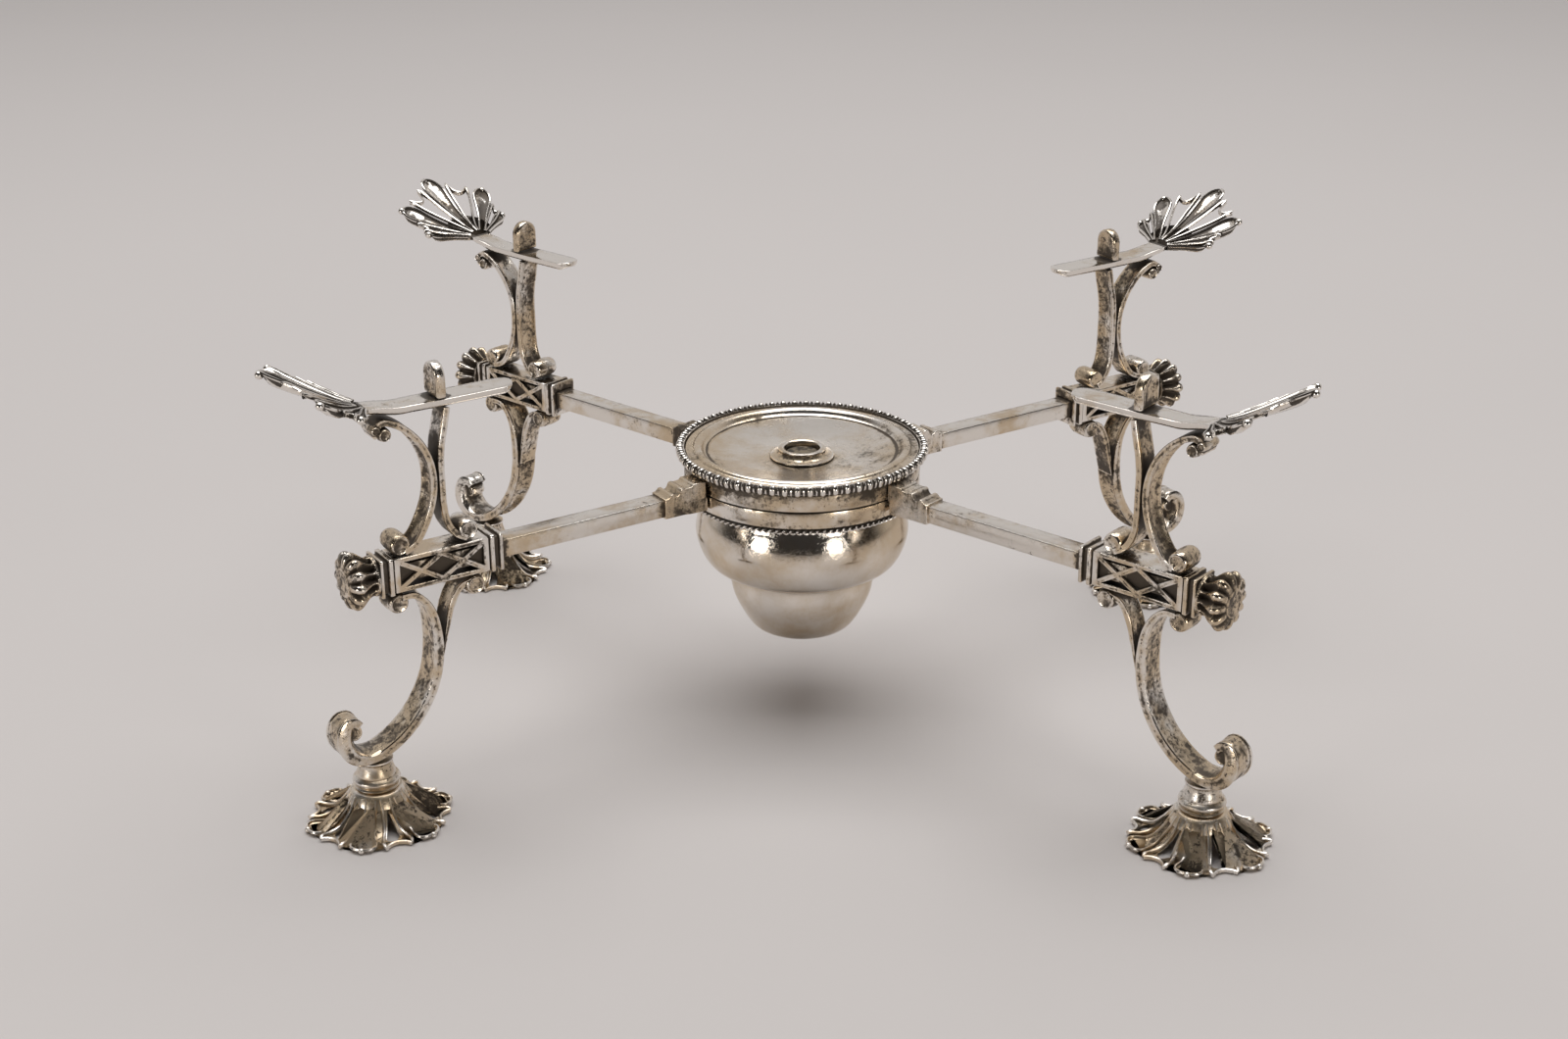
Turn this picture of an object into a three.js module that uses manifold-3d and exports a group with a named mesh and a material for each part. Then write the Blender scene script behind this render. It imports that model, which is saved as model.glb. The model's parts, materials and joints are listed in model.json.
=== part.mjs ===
// A silver dish cross: a spirit lamp between two pairs of bars that swing about it, with four brackets that
// slide along the bars and carry a dish. Millimetres, +Z up, origin on the ground under the lamp's axis.
import * as THREE from 'three';
import { mergeVertices } from 'three/addons/utils/BufferGeometryUtils.js';
import Module from 'manifold-3d';

const wasm = await Module();
wasm.setup();

// Fits
const GAP = 0.3; // between pieces that are soldered to or rest on each other
const RUNNING_GAP = 0.3; // between pieces that slide or turn on each other
const STUD_CLEARANCE = 0.3; // round the stud of a rosette, in the end of its bar
const LAMP_CLEARANCE = 0.4; // round the belly of the lamp, in the ring sleeve

// Cross
const BAR_ANGLE = 37; // degrees between each bar and the long axis
const BAR_WIDTH = 6;
const BAR_HEIGHT = 4.8;
const BAR_END_R = 128; // from the lamp's axis to the outer end of a bar
const BLOCK_LENGTH = 13.1;
const BLOCK_WIDTH = 7.4;
const BLOCK_TIP_HEIGHT = 5.6;
const BLOCK_DROP = 3.1; // the block reaches this far under the axis of the bars
const BLOCK_STEP = 0.7; // rise of each step of the moulding across a block
const SEAM_OVER_BAR = 0.7; // the seam between the rings is this much above the axis of the bars

// Rings
const RING_OUTER_R = 32.6;
const RING_WALL = 1.5;
const RING_HEIGHT = 4.7;
const RING_SLEEVE_WALL = 0.6;
const ROPE_R = 0.8;
const RING_SEGMENTS = 36;

// Lamp
const LAMP_WALL = 0.8;
const BELLY_HEIGHT = 33.8; // from the waist up to the underside of the flange
const CUP_HEIGHT = 19.5; // the smaller bulge under the waist
const WAIST_SHARE = 0.678; // of the belly's radius
const NECK_INSET = 2.4; // from the belly in to the neck
const FLANGE_INSET = 0.6; // from the outside of the rings in to the edge of the flange
const FLANGE_THICKNESS = 0.7;
const LAMP_SEGMENTS = 28;

// Cover, wick tube and wick
const COVER_THICKNESS = 0.8;
const COVER_DISH_DEPTH = 3.2; // how far the middle of the cover lies under its edge
const COVER_RING_RISE = 0.9; // the raised ring near the edge
const COVER_SKIRT_DEPTH = 5;
const COVER_SKIRT_WALL = 0.8;
const BORDER_WIDTH = 2.5;
const BORDER_HEIGHT = 3.2;
const BORDER_BEADS = 64;
const BEAD_DEPTH = 0.5;
const WICK_TUBE_R = 6.3;
const WICK_TUBE_WALL = 1.3;
const WICK_TUBE_FLARE_R = 8.8;
const WICK_TUBE_RISE = 3; // above the middle of the cover
const WICK_TUBE_DROP = 6.6; // below it
const WICK_CLEARANCE = 0.4;
const WICK_LENGTH = 40.6;

// Brackets
const SLEEVE_LENGTH = 33.7;
const SLEEVE_WIDTH = 8;
const SLEEVE_HEIGHT = 9.2;
const SLEEVE_PLATE = 0.7; // thickness of the top and bottom plates
const SLEEVE_BAND_LENGTH = 4.2;
const SLEEVE_BAND_RISE = 0.45; // the mouldings stand this much over the sleeve
const LATTICE_BORDER = 1.2;
const LATTICE_BAR = 1.3;
const STRAP_WIDTH = 6.4;
const STRAP_THICKNESS = 1.7;
const SCROLL_HEIGHT = 36.1; // from the sleeve up to the dish rest
const SCROLL_SEAM = 0.75; // the backs of the scrolls meet this much inside the middle of the sleeve
const SCROLL_BACK_GAP = 0.4;
const OUTER_SCROLL_REACH = 14.5; // outwards from its back
const INNER_SCROLL_REACH = 6.1; // inwards from its back
const ROLL_R = 2.8;
const ROLL_WIDTH = 7.6;
const SMALL_ROLL_R = 1.8;
const LEG_HEIGHT = 44.7; // from the foot up to the sleeve
const LEG_WIDTH = 7.8;
const LEG_THICKNESS = 2.6;
const LEG_BACK = 1; // the back of the leg stands this much outside the middle of the sleeve
const LEG_REACH = 28.5; // outwards from its back to the knob
const LEG_KNOB_WIDTH = 8.8;
const LEG_KNOB_CORE_R = 3.3;
const UNDER_SCROLL_REACH = 9.2; // inwards from the leg
const UNDER_SCROLL_END = 0.9; // its thickness where it meets the leg
const FOOT_SHARE = 0.64; // of the leg's reach, where the foot stands

// Dish rest
const REST_THICKNESS = 2.2;
const REST_WIDTH = 7.8;
const REST_INNER = 23.4; // from the middle of the sleeve in to the tip of the rest
const REST_NECK = 15.65; // from the middle of the sleeve out to the neck of the palmette
const REST_NECK_WIDTH = 6.6;
const NECK_RISE = 1;
const PALMETTE_LENGTH = 26; // in plan, from the neck to the middle of the tip bead
const PALMETTE_SPREAD = 29.3; // the same reach for a petal that lies across the bar
const PALMETTE_RISE = 13.6;
const PALMETTE_THICKNESS = 1.4;
const PALMETTE_BEAD_R = 1.1;
const STOP_INSET = 2.85; // from the middle of the sleeve in to the dish stop
const STOP_WIDTH = 7.4;
const STOP_HEIGHT = 8.6;
const STOP_THICKNESS = 2.8;

// Feet
const FOOT_RISE = 9.5;
const FOOT_R = 19.6;
const FOOT_NECK_R = 6.3;
const FOOT_PETALS = 6;
const FOOT_THICKNESS = 1.1;
const FOOT_FLAT_SHARE = 0.73; // of the foot's radius, beyond which its underside lies on the ground
const FOOT_TURN = -8; // degrees from the bar to the first petal
const KNOP_HEIGHT = 7.8;
const KNOP_R = 6.1;
const KNOP_NECK_R = 4.3;

// Rosettes
const ROSETTE_R = 8;
const ROSETTE_LENGTH = 8.4;
const ROSETTE_FLUTES = 12;
const ROSETTE_DISC_R = 2.9;
const FLUTE_DEPTH = 0.9;
const STUD_R = 1.2;
const STUD_LENGTH = 8;

// Heights and places that follow from the sizes above
const KNOP_BASE_Z = FOOT_RISE + GAP;
const LEG_BASE_Z = KNOP_BASE_Z + KNOP_HEIGHT + GAP;
const SLEEVE_BASE_Z = LEG_BASE_Z + LEG_HEIGHT + GAP;
const BAR_Z = SLEEVE_BASE_Z + SLEEVE_HEIGHT / 2;
const SLEEVE_TOP_Z = SLEEVE_BASE_Z + SLEEVE_HEIGHT;
const SCROLL_BASE_Z = SLEEVE_TOP_Z + GAP;
const REST_TOP_Z = SCROLL_BASE_Z + SCROLL_HEIGHT + GAP + REST_THICKNESS;
const SLEEVE_MID_R = BAR_END_R - SLEEVE_LENGTH / 2;
const NECK_OF_REST_R = SLEEVE_MID_R + REST_NECK;
const SEAM_Z = BAR_Z + SEAM_OVER_BAR;
const RING_TOP_Z = SEAM_Z + RING_HEIGHT;
const RING_BASE_Z = SEAM_Z - RING_HEIGHT;
const RING_INNER_R = RING_OUTER_R - RING_WALL;
const RING_SLEEVE_R = RING_INNER_R - RUNNING_GAP;
const BLOCK_END_R = RING_OUTER_R + GAP + BLOCK_LENGTH;
const LEG_MIDDLE_X = SLEEVE_MID_R + LEG_BACK + LEG_THICKNESS / 2;
const FOOT_X = LEG_MIDDLE_X + FOOT_SHARE * LEG_REACH;
const BELLY_R = RING_SLEEVE_R - RING_SLEEVE_WALL - LAMP_CLEARANCE;
const WAIST_R = WAIST_SHARE * BELLY_R;
const NECK_R = BELLY_R - NECK_INSET;
const FLANGE_R = RING_OUTER_R - FLANGE_INSET;
const FLANGE_Z = RING_TOP_Z + GAP;
const WAIST_Z = FLANGE_Z - BELLY_HEIGHT;
const COVER_Z = FLANGE_Z + FLANGE_THICKNESS + GAP;
const COVER_R = FLANGE_R + 0.2;
const COVER_DISC_Z = COVER_Z + COVER_THICKNESS - COVER_DISH_DEPTH;
const BORDER_OUTER_R = COVER_R + GAP + BORDER_WIDTH;
const WICK_TUBE_TOP_Z = COVER_DISC_Z + WICK_TUBE_RISE;

// Materials
const silver = (color, roughness) => new THREE.MeshStandardMaterial({ color, roughness, metalness: 1 });
const polishedSilver = silver(0xd8d2c6, 0.18);
const wornSilver = silver(0xb8aea0, 0.34);
const castSilver = silver(0xa69c8d, 0.38);
const cotton = new THREE.MeshStandardMaterial({ color: 0x6b6152, roughness: 0.95, metalness: 0 });

const radians = THREE.MathUtils.degToRad;
const part = new THREE.Group();

// Position-only copy of a geometry with its shared vertices merged, empty triangles dropped and its faces
// turned outwards.
function closed(geometry) {
  const bare = geometry.clone();
  bare.deleteAttribute('normal');
  bare.deleteAttribute('uv');
  const merged = mergeVertices(bare, 1e-4);
  const old = merged.index.array;
  const index = [];
  for (let i = 0; i < old.length; i += 3) {
    const [a, b, c] = [old[i], old[i + 1], old[i + 2]];
    if (a !== b && b !== c && c !== a) index.push(a, b, c);
  }
  merged.setIndex(index);
  if (signedVolume(merged) < 0) merged.setIndex(index.reverse());
  return merged;
}

function signedVolume(geometry) {
  const place = geometry.attributes.position;
  const corner = (i) => new THREE.Vector3().fromBufferAttribute(place, geometry.index.array[i]);
  let volume = 0;
  for (let i = 0; i < geometry.index.count; i += 3) {
    volume += corner(i).dot(corner(i + 1).cross(corner(i + 2))) / 6;
  }
  return volume;
}

function solid(geometry) {
  const merged = closed(geometry);
  return new wasm.Manifold(new wasm.Mesh({
    numProp: 3,
    vertProperties: new Float32Array(merged.attributes.position.array),
    triVerts: new Uint32Array(merged.index.array),
  }));
}

function geometryOf(body) {
  const mesh = body.getMesh();
  const geometry = new THREE.BufferGeometry();
  geometry.setAttribute('position', new THREE.BufferAttribute(new Float32Array(mesh.vertProperties), 3));
  geometry.setIndex(new THREE.BufferAttribute(new Uint32Array(mesh.triVerts), 1));
  return geometry;
}

const union = (bodies) => bodies.reduce((whole, body) => whole.add(body));

function addPiece(group, name, shape, material) {
  const geometry = shape.isBufferGeometry ? closed(shape) : geometryOf(shape);
  geometry.computeVertexNormals();
  const mesh = new THREE.Mesh(geometry, material);
  mesh.name = name;
  group.add(mesh);
}

// Basic forms, in a bracket's frame: x runs out along the bar, y across it and z up
function block(x0, x1, width, z0, z1) {
  const geometry = new THREE.BoxGeometry(x1 - x0, width, z1 - z0);
  geometry.translate((x0 + x1) / 2, 0, (z0 + z1) / 2);
  return geometry;
}

// A profile of [radius, height] pairs turned about the z axis
function turned(profile, segments) {
  const points = profile.map(([r, z]) => new THREE.Vector2(r, z));
  return closed(new THREE.LatheGeometry(points, segments)).rotateX(Math.PI / 2);
}

// A ring of rectangular section
function ring(innerR, outerR, z0, z1) {
  const profile = [[innerR, z0], [outerR, z0], [outerR, z1], [innerR, z1], [innerR, z0]];
  return turned(profile, RING_SEGMENTS);
}

// A round rod along the axis of the bar
function rod(radius, x0, x1) {
  const geometry = closed(new THREE.CylinderGeometry(radius, radius, x1 - x0, 10));
  return geometry.rotateZ(Math.PI / 2).translate((x0 + x1) / 2, 0, BAR_Z);
}

// A side view of [x, z] pairs, as thick as width across the bar
function sideCut(outline, width, holes = []) {
  const points = (pairs) => pairs.map(([x, z]) => new THREE.Vector2(x, z));
  const shape = new THREE.Shape(points(outline));
  shape.holes = holes.map((hole) => new THREE.Path(points(hole)));
  const geometry = new THREE.ExtrudeGeometry(shape, { depth: width, bevelEnabled: false });
  geometry.rotateX(Math.PI / 2);
  geometry.translate(0, width / 2, 0);
  return geometry;
}

// A strap along a curve in the x-z plane. Its section is a rectangle with one hollowed face, and its width
// and thickness are functions of the share of the way along it.
function strap(points, steps, widthAt, thicknessAt, hollowSide) {
  const curve = new THREE.CatmullRomCurve3(points.map(([x, z]) => new THREE.Vector3(x, 0, z)));
  const h = hollowSide;
  const section = [[-1, -h], [1, -h], [1, h], [0.45, 0.62 * h], [-0.45, 0.62 * h], [-1, h]];
  const shape = new THREE.Shape(section.map(([x, y]) => new THREE.Vector2(x, y)));
  const geometry = new THREE.ExtrudeGeometry(shape, { depth: 1, steps, bevelEnabled: false });
  const place = geometry.attributes.position;
  for (let i = 0; i < place.count; i += 1) {
    const along = THREE.MathUtils.clamp(place.getZ(i), 0, 1);
    const at = curve.getPointAt(along);
    const ahead = curve.getTangentAt(along);
    const out = place.getY(i) * thicknessAt(along) / 2;
    const across = place.getX(i) * widthAt(along) / 2;
    place.setXYZ(i, at.x - ahead.z * out, across, at.z + ahead.x * out);
  }
  return geometry;
}

// The rolled end of a scroll: a barrel that lies across the bar
function roll(x, z, radius, width) {
  const end = radius * 0.74;
  const profile = [[0, -width / 2], [end, -width / 2], [radius, -width / 4]];
  const mirrored = profile.map(([r, y]) => [r, -y]).reverse();
  const points = [...profile, ...mirrored].map(([r, y]) => new THREE.Vector2(r, y));
  return closed(new THREE.LatheGeometry(points, 8)).translate(x, 0, z);
}

const ease = THREE.MathUtils.smoothstep;
const between = THREE.MathUtils.lerp;

// Sleeve: a rectangular tube on the bar, with a lattice of two crosses in each side and moulded ends
function sleeve() {
  const x0 = SLEEVE_MID_R - SLEEVE_LENGTH / 2;
  const x1 = SLEEVE_MID_R + SLEEVE_LENGTH / 2;
  const ridge = SLEEVE_BAND_LENGTH / 3;
  const rise = SLEEVE_BAND_RISE;
  const bodies = [solid(block(x0, x1, SLEEVE_WIDTH, SLEEVE_BASE_Z, SLEEVE_TOP_Z))];
  for (const start of [x0, x0 + 2 * ridge, x1 - 3 * ridge, x1 - ridge]) {
    const width = SLEEVE_WIDTH + 2 * rise;
    bodies.push(solid(block(start, start + ridge, width, SLEEVE_BASE_Z - rise, SLEEVE_TOP_Z + rise)));
  }
  const channelWidth = BAR_WIDTH + 2 * RUNNING_GAP;
  const channelHalf = BAR_HEIGHT / 2 + RUNNING_GAP;
  const channel = block(x0 - 1, x1 + 1, channelWidth, BAR_Z - channelHalf, BAR_Z + channelHalf);
  const hollow = block(
    x0 + SLEEVE_BAND_LENGTH, x1 - SLEEVE_BAND_LENGTH, channelWidth,
    SLEEVE_BASE_Z + SLEEVE_PLATE, SLEEVE_TOP_Z - SLEEVE_PLATE,
  );
  return union(bodies).subtract(solid(channel)).subtract(solid(hollow)).subtract(latticeOpenings());
}

// The seven openings that two crosses side by side leave in each side of a sleeve
function latticeOpenings() {
  const half = SLEEVE_LENGTH / 2 - SLEEVE_BAND_LENGTH - LATTICE_BORDER;
  const a = half / 2;
  const b = SLEEVE_HEIGHT / 2 - LATTICE_BORDER;
  const slope = Math.atan2(b, a);
  const dx = LATTICE_BAR / 2 / Math.sin(slope);
  const dz = LATTICE_BAR / 2 / Math.cos(slope);
  const openings = [[[-dx, 0], [-a, b - dz], [-a, dz - b]].map(([x, z]) => [x - a, z])];
  openings.push([[dx, 0], [a, dz - b], [a, b - dz]].map(([x, z]) => [x + a, z]));
  openings.push([[dx - a, 0], [0, dz - b], [a - dx, 0], [0, b - dz]]);
  for (const middle of [-a, a]) {
    openings.push([[middle, dz], [middle + a - dx, b], [middle - a + dx, b]]);
    openings.push([[middle, -dz], [middle - a + dx, -b], [middle + a - dx, -b]]);
  }
  const placed = openings.map((points) => points.map(([x, z]) => [SLEEVE_MID_R + x, BAR_Z + z]));
  return union(placed.map((points) => solid(sideCut(points, SLEEVE_WIDTH * 2))));
}

// Upper scrolls, back to back: across they are shares of a scroll's reach from its back, and up they are
// shares of the way from the sleeve to the dish rest
const scrollBack = (STRAP_THICKNESS + SCROLL_BACK_GAP) / 2;
const outerX = (share) => SLEEVE_MID_R - SCROLL_SEAM + scrollBack + share * OUTER_SCROLL_REACH;
const innerX = (share) => SLEEVE_MID_R - SCROLL_SEAM - scrollBack - share * INNER_SCROLL_REACH;
const scrollZ = (share) => SCROLL_BASE_Z + STRAP_THICKNESS / 2 + share * (SCROLL_HEIGHT - STRAP_THICKNESS);
const rollWidthAt = (along) => between(STRAP_WIDTH, ROLL_WIDTH, 1 - ease(along, 0, 0.12));

function upperOuterScroll() {
  const path = [
    [0.641, 0], [0.407, 0.04], [0.2, 0.17], [0.055, 0.32], [0, 0.47], [0.034, 0.62], [0.166, 0.765],
    [0.379, 0.885], [0.621, 0.965], [0.855, 1], [1, 0.955], [0.972, 0.9],
  ].map(([across, up]) => [outerX(across), scrollZ(up)]);
  const thicknessAt = (along) => between(STRAP_THICKNESS, 1.5, ease(along, 0.8, 1));
  const body = solid(strap(path, 16, rollWidthAt, thicknessAt, -1));
  const foot = roll(outerX(0.717), SCROLL_BASE_Z + ROLL_R, ROLL_R, ROLL_WIDTH);
  const tip = roll(outerX(0.841), scrollZ(0.91), SMALL_ROLL_R, STRAP_WIDTH + 0.8);
  return union([body, solid(foot), solid(tip)]);
}

function upperInnerScroll() {
  const path = [
    [0.902, 0], [0.475, 0.045], [0.131, 0.15], [0.008, 0.3], [0, 0.47], [0.008, 0.62], [0.082, 0.75],
    [0.246, 0.88], [0.41, 1.02],
  ].map(([across, up]) => [innerX(across), scrollZ(up)]);
  const body = solid(strap(path, 11, rollWidthAt, () => STRAP_THICKNESS, 1));
  const foot = roll(innerX(1), SCROLL_BASE_Z + ROLL_R, ROLL_R, ROLL_WIDTH);
  return union([body, solid(foot)]);
}

// Leg and under scroll: across they are shares of their reach from where they meet, and up they are shares
// of the way from the foot to the sleeve
const legX = (share) => LEG_MIDDLE_X + share * LEG_REACH;
const underX = (share) => SLEEVE_MID_R + LEG_BACK - GAP - UNDER_SCROLL_END / 2 - share * UNDER_SCROLL_REACH;
const legZ = (share) => LEG_BASE_Z + LEG_THICKNESS / 2 + share * (LEG_HEIGHT - LEG_THICKNESS / 2);
const underRollZ = SLEEVE_BASE_Z - GAP - ROLL_R;

function leg() {
  const path = [
    [0.312, 0.969], [0.193, 0.963], [0.091, 0.901], [0.025, 0.803], [0, 0.681], [0.002, 0.563],
    [0.035, 0.434], [0.112, 0.305], [0.242, 0.178], [0.411, 0.077], [0.586, 0.016], [0.726, 0.004],
    [0.87, 0.029], [0.979, 0.105], [1, 0.2], [0.937, 0.262], [0.842, 0.275], [0.782, 0.24],
  ].map(([across, up]) => [legX(across), legZ(up)]);
  const widthAt = (along) => {
    const top = between(ROLL_WIDTH, LEG_WIDTH, ease(along, 0, 0.2));
    return between(top, LEG_KNOB_WIDTH, ease(along, 0.7, 0.88));
  };
  const thicknessAt = (along) => {
    const grown = between(STRAP_THICKNESS, LEG_THICKNESS, ease(along, 0.06, 0.3));
    return between(grown, 2, ease(along, 0.7, 0.92));
  };
  const body = solid(strap(path, 23, widthAt, thicknessAt, -1));
  const top = roll(legX(0.347), underRollZ, ROLL_R, ROLL_WIDTH);
  const knob = roll(legX(0.86), legZ(0.172), LEG_KNOB_CORE_R, LEG_KNOB_WIDTH);
  return union([body, solid(top), solid(knob)]);
}

function underScroll() {
  const path = [
    [0.891, 0.969], [0.522, 0.927], [0.25, 0.821], [0.12, 0.716], [0.043, 0.611], [0.005, 0.517],
  ].map(([across, up]) => [underX(across), legZ(up)]);
  const thicknessAt = (along) => between(STRAP_THICKNESS, UNDER_SCROLL_END, ease(along, 0.3, 0.9));
  const body = solid(strap(path, 8, rollWidthAt, thicknessAt, 1));
  const end = roll(underX(1), underRollZ, ROLL_R, ROLL_WIDTH);
  return union([body, solid(end)]);
}

// Dish rest: the height of its top face, and its thickness, along the bar
function restTop(x) {
  const tip = SLEEVE_MID_R - REST_INNER + REST_WIDTH / 2;
  if (x < tip) return REST_TOP_Z + 0.08 * (tip - x) ** 2;
  const neck = NECK_RISE * ease(x, NECK_OF_REST_R - 9, NECK_OF_REST_R);
  const u = Math.max(0, (x - NECK_OF_REST_R) / PALMETTE_LENGTH);
  return REST_TOP_Z + neck + PALMETTE_RISE * (0.35 * u + 1.3 * u ** 2 - 0.65 * u ** 3);
}

function restThickness(x) {
  return between(REST_THICKNESS, PALMETTE_THICKNESS, ease(x, NECK_OF_REST_R - 6, NECK_OF_REST_R + 4));
}

// Points of the palmette as [share of its length, degrees from its middle line]
const PALMETTE_SPOKES = [0, 39.2, 60.7];
const PALMETTE_REACH = [1, 0.88, 0.584];
const palmettePoint = ([share, degrees]) => [
  NECK_OF_REST_R + PALMETTE_LENGTH * share * Math.cos(radians(degrees)),
  PALMETTE_SPREAD * share * Math.sin(radians(degrees)),
];

function palmetteOutline() {
  const petals = [
    [0.965, 0], [0.94, 3.6], [0.86, 6.4], [0.71, 8], [0.87, 12.2], [0.77, 14.6], [0.755, 19.5],
    [0.78, 25.4], [0.845, 27], [0.67, 31], [0.8, 33.6], [0.865, 37.8], [0.855, 42],
    [0.79, 45], [0.66, 47], [0.67, 50], [0.585, 53.6], [0.61, 57], [0.57, 61.2], [0.5, 66],
    [0.24, 64],
  ];
  return petals.map(palmettePoint);
}

const palmetteHoles = () => [
  [[0.33, 19.5], [0.52, 14.8], [0.72, 13.9], [0.705, 19.5], [0.7, 25.1], [0.52, 24.2]],
  [[0.3, 53.6], [0.42, 50.6], [0.54, 50.4], [0.53, 53.6], [0.525, 56.6], [0.42, 56.8]],
].map((hole) => hole.map(palmettePoint));

// The plate from its rounded tip out to the neck, as cross-sections of its own width and height
function restPlate() {
  const half = REST_WIDTH / 2;
  const tip = SLEEVE_MID_R - REST_INNER;
  const end = NECK_OF_REST_R + 1.5;
  const section = [[-1, 1], [-0.8, 0], [0.8, 0], [1, 1]];
  const shape = new THREE.Shape(section.map(([x, y]) => new THREE.Vector2(x, y)));
  const geometry = new THREE.ExtrudeGeometry(shape, { depth: 1, steps: 10, bevelEnabled: false });
  const place = geometry.attributes.position;
  for (let i = 0; i < place.count; i += 1) {
    const along = THREE.MathUtils.clamp(place.getZ(i), 0, 1);
    const x = tip + 0.3 + (end - tip - 0.3) * along ** 1.3;
    const body = between(half, REST_NECK_WIDTH / 2, ease(x, SLEEVE_MID_R - 8, NECK_OF_REST_R));
    const rounded = Math.sqrt(Math.max(0, half ** 2 - Math.max(0, tip + half - x) ** 2));
    const z = restTop(x) - (1 - place.getY(i)) * restThickness(x);
    place.setXYZ(i, x, place.getX(i) * Math.min(body, rounded), z);
  }
  return geometry;
}

// The palmette beyond the neck, as one pierced plan bent to the height of its top face
function palmette() {
  const root = NECK_OF_REST_R - 0.6;
  const outline = [...palmetteOutline()].reverse();
  const side = [[root, 0.46 * REST_NECK_WIDTH], [NECK_OF_REST_R + 0.6, REST_NECK_WIDTH / 2], ...outline];
  const mirrored = side.slice(0, -1).map(([x, y]) => [x, -y]).reverse();
  const points = (pairs) => pairs.map(([x, y]) => new THREE.Vector2(x, y));
  const shape = new THREE.Shape(points([...side, ...mirrored]));
  for (const hole of palmetteHoles()) {
    const mirror = hole.map(([x, y]) => [x, -y]).reverse();
    shape.holes.push(new THREE.Path(points(hole)), new THREE.Path(points(mirror)));
  }
  const geometry = new THREE.ExtrudeGeometry(shape, { depth: 1, bevelEnabled: false });
  const place = geometry.attributes.position;
  for (let i = 0; i < place.count; i += 1) {
    const x = place.getX(i);
    place.setZ(i, restTop(x) - (1 - place.getZ(i)) * PALMETTE_THICKNESS - 0.02);
  }
  return geometry;
}

function dishRest() {
  const beads = [];
  PALMETTE_SPOKES.forEach((degrees, i) => {
    const sides = degrees === 0 ? [1] : [1, -1];
    const [x, y] = palmettePoint([PALMETTE_REACH[i], degrees]);
    for (const hand of sides) {
      const bead = closed(new THREE.SphereGeometry(PALMETTE_BEAD_R, 5, 4));
      beads.push(solid(bead.translate(x, hand * y, restTop(x) - PALMETTE_THICKNESS / 2)));
    }
  });
  return union([solid(restPlate()), solid(palmette()), ...beads]);
}

// Dish stop: the upright tab with a rounded top
function dishStop() {
  const half = STOP_WIDTH / 2;
  const base = REST_TOP_Z + GAP;
  const shape = new THREE.Shape();
  shape.moveTo(-half, base);
  shape.lineTo(half, base);
  shape.lineTo(half, base + STOP_HEIGHT - half);
  shape.absarc(0, base + STOP_HEIGHT - half, half, 0, Math.PI, false);
  const geometry = new THREE.ExtrudeGeometry(shape, {
    depth: STOP_THICKNESS, bevelEnabled: false, curveSegments: 6,
  });
  geometry.rotateX(Math.PI / 2);
  geometry.rotateZ(Math.PI / 2);
  geometry.translate(SLEEVE_MID_R - STOP_INSET - STOP_THICKNESS / 2, 0, 0);
  return geometry;
}

// Foot: a turned knop over a flared, pierced shell of petals
function footKnop() {
  const z = (share) => KNOP_BASE_Z + share * KNOP_HEIGHT;
  const geometry = turned([
    [0, z(0)], [KNOP_R - 0.9, z(0)], [KNOP_R - 0.4, z(0.08)], [KNOP_R - 0.9, z(0.14)], [KNOP_R, z(0.22)],
    [KNOP_R, z(0.34)], [KNOP_R - 1, z(0.45)], [KNOP_NECK_R, z(0.75)], [KNOP_NECK_R + 0.3, z(1)], [0, z(1)],
  ], 12);
  geometry.translate(FOOT_X, 0, 0);
  return geometry;
}

// The underside of the foot shell falls from its neck in a trumpet curve and is flat near the petal tips
function footUnderside(radius) {
  const flatR = FOOT_R * FOOT_FLAT_SHARE - 0.1;
  const share = THREE.MathUtils.clamp((radius - FOOT_NECK_R) / (flatR - FOOT_NECK_R), 0, 1);
  return (FOOT_RISE - FOOT_THICKNESS) * (1 - share) ** 1.8;
}

function footShell() {
  const sector = 360 / FOOT_PETALS;
  const polar = ([share, degrees]) => new THREE.Vector2(
    FOOT_R * share * Math.cos(radians(degrees)), FOOT_R * share * Math.sin(radians(degrees)),
  );
  const outline = [];
  const holes = [];
  for (let i = 0; i < FOOT_PETALS; i += 1) {
    const petal = FOOT_TURN + i * sector;
    const gap = petal + sector / 2;
    outline.push(...[
      [0.87, petal - 11], [0.97, petal - 5], [1, petal], [0.97, petal + 5], [0.87, petal + 11],
      [0.79, petal + 14], [0.93, gap - 11.5], [0.82, gap - 5], [0.82, gap + 5], [0.93, gap + 11.5],
      [0.79, petal + sector - 14],
    ].map(polar));
    holes.push([
      [0.46, gap], [0.57, gap + 5.5], [0.73, gap + 9], [0.745, gap], [0.73, gap - 9], [0.57, gap - 5.5],
    ].map(polar));
  }
  const shape = new THREE.Shape(outline);
  const centre = new THREE.Path().absarc(0, 0, FOOT_NECK_R, 0, 2 * Math.PI, true);
  shape.holes = [new THREE.Path(centre.getPoints(6).slice(0, -1)), ...holes.map((h) => new THREE.Path(h))];
  const petals = new THREE.ExtrudeGeometry(shape, { depth: 1, bevelEnabled: false });
  const place = petals.attributes.position;
  for (let i = 0; i < place.count; i += 1) {
    const radius = Math.hypot(place.getX(i), place.getY(i));
    place.setZ(i, footUnderside(radius) + place.getZ(i) * FOOT_THICKNESS);
  }
  const cap = turned([
    [0, FOOT_RISE - FOOT_THICKNESS - 0.8], [FOOT_NECK_R + 0.5, FOOT_RISE - FOOT_THICKNESS - 0.8],
    [FOOT_NECK_R + 0.5, FOOT_RISE], [0, FOOT_RISE],
  ], 12);
  return geometryOf(solid(petals).add(solid(cap))).translate(FOOT_X, 0, 0);
}

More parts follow.
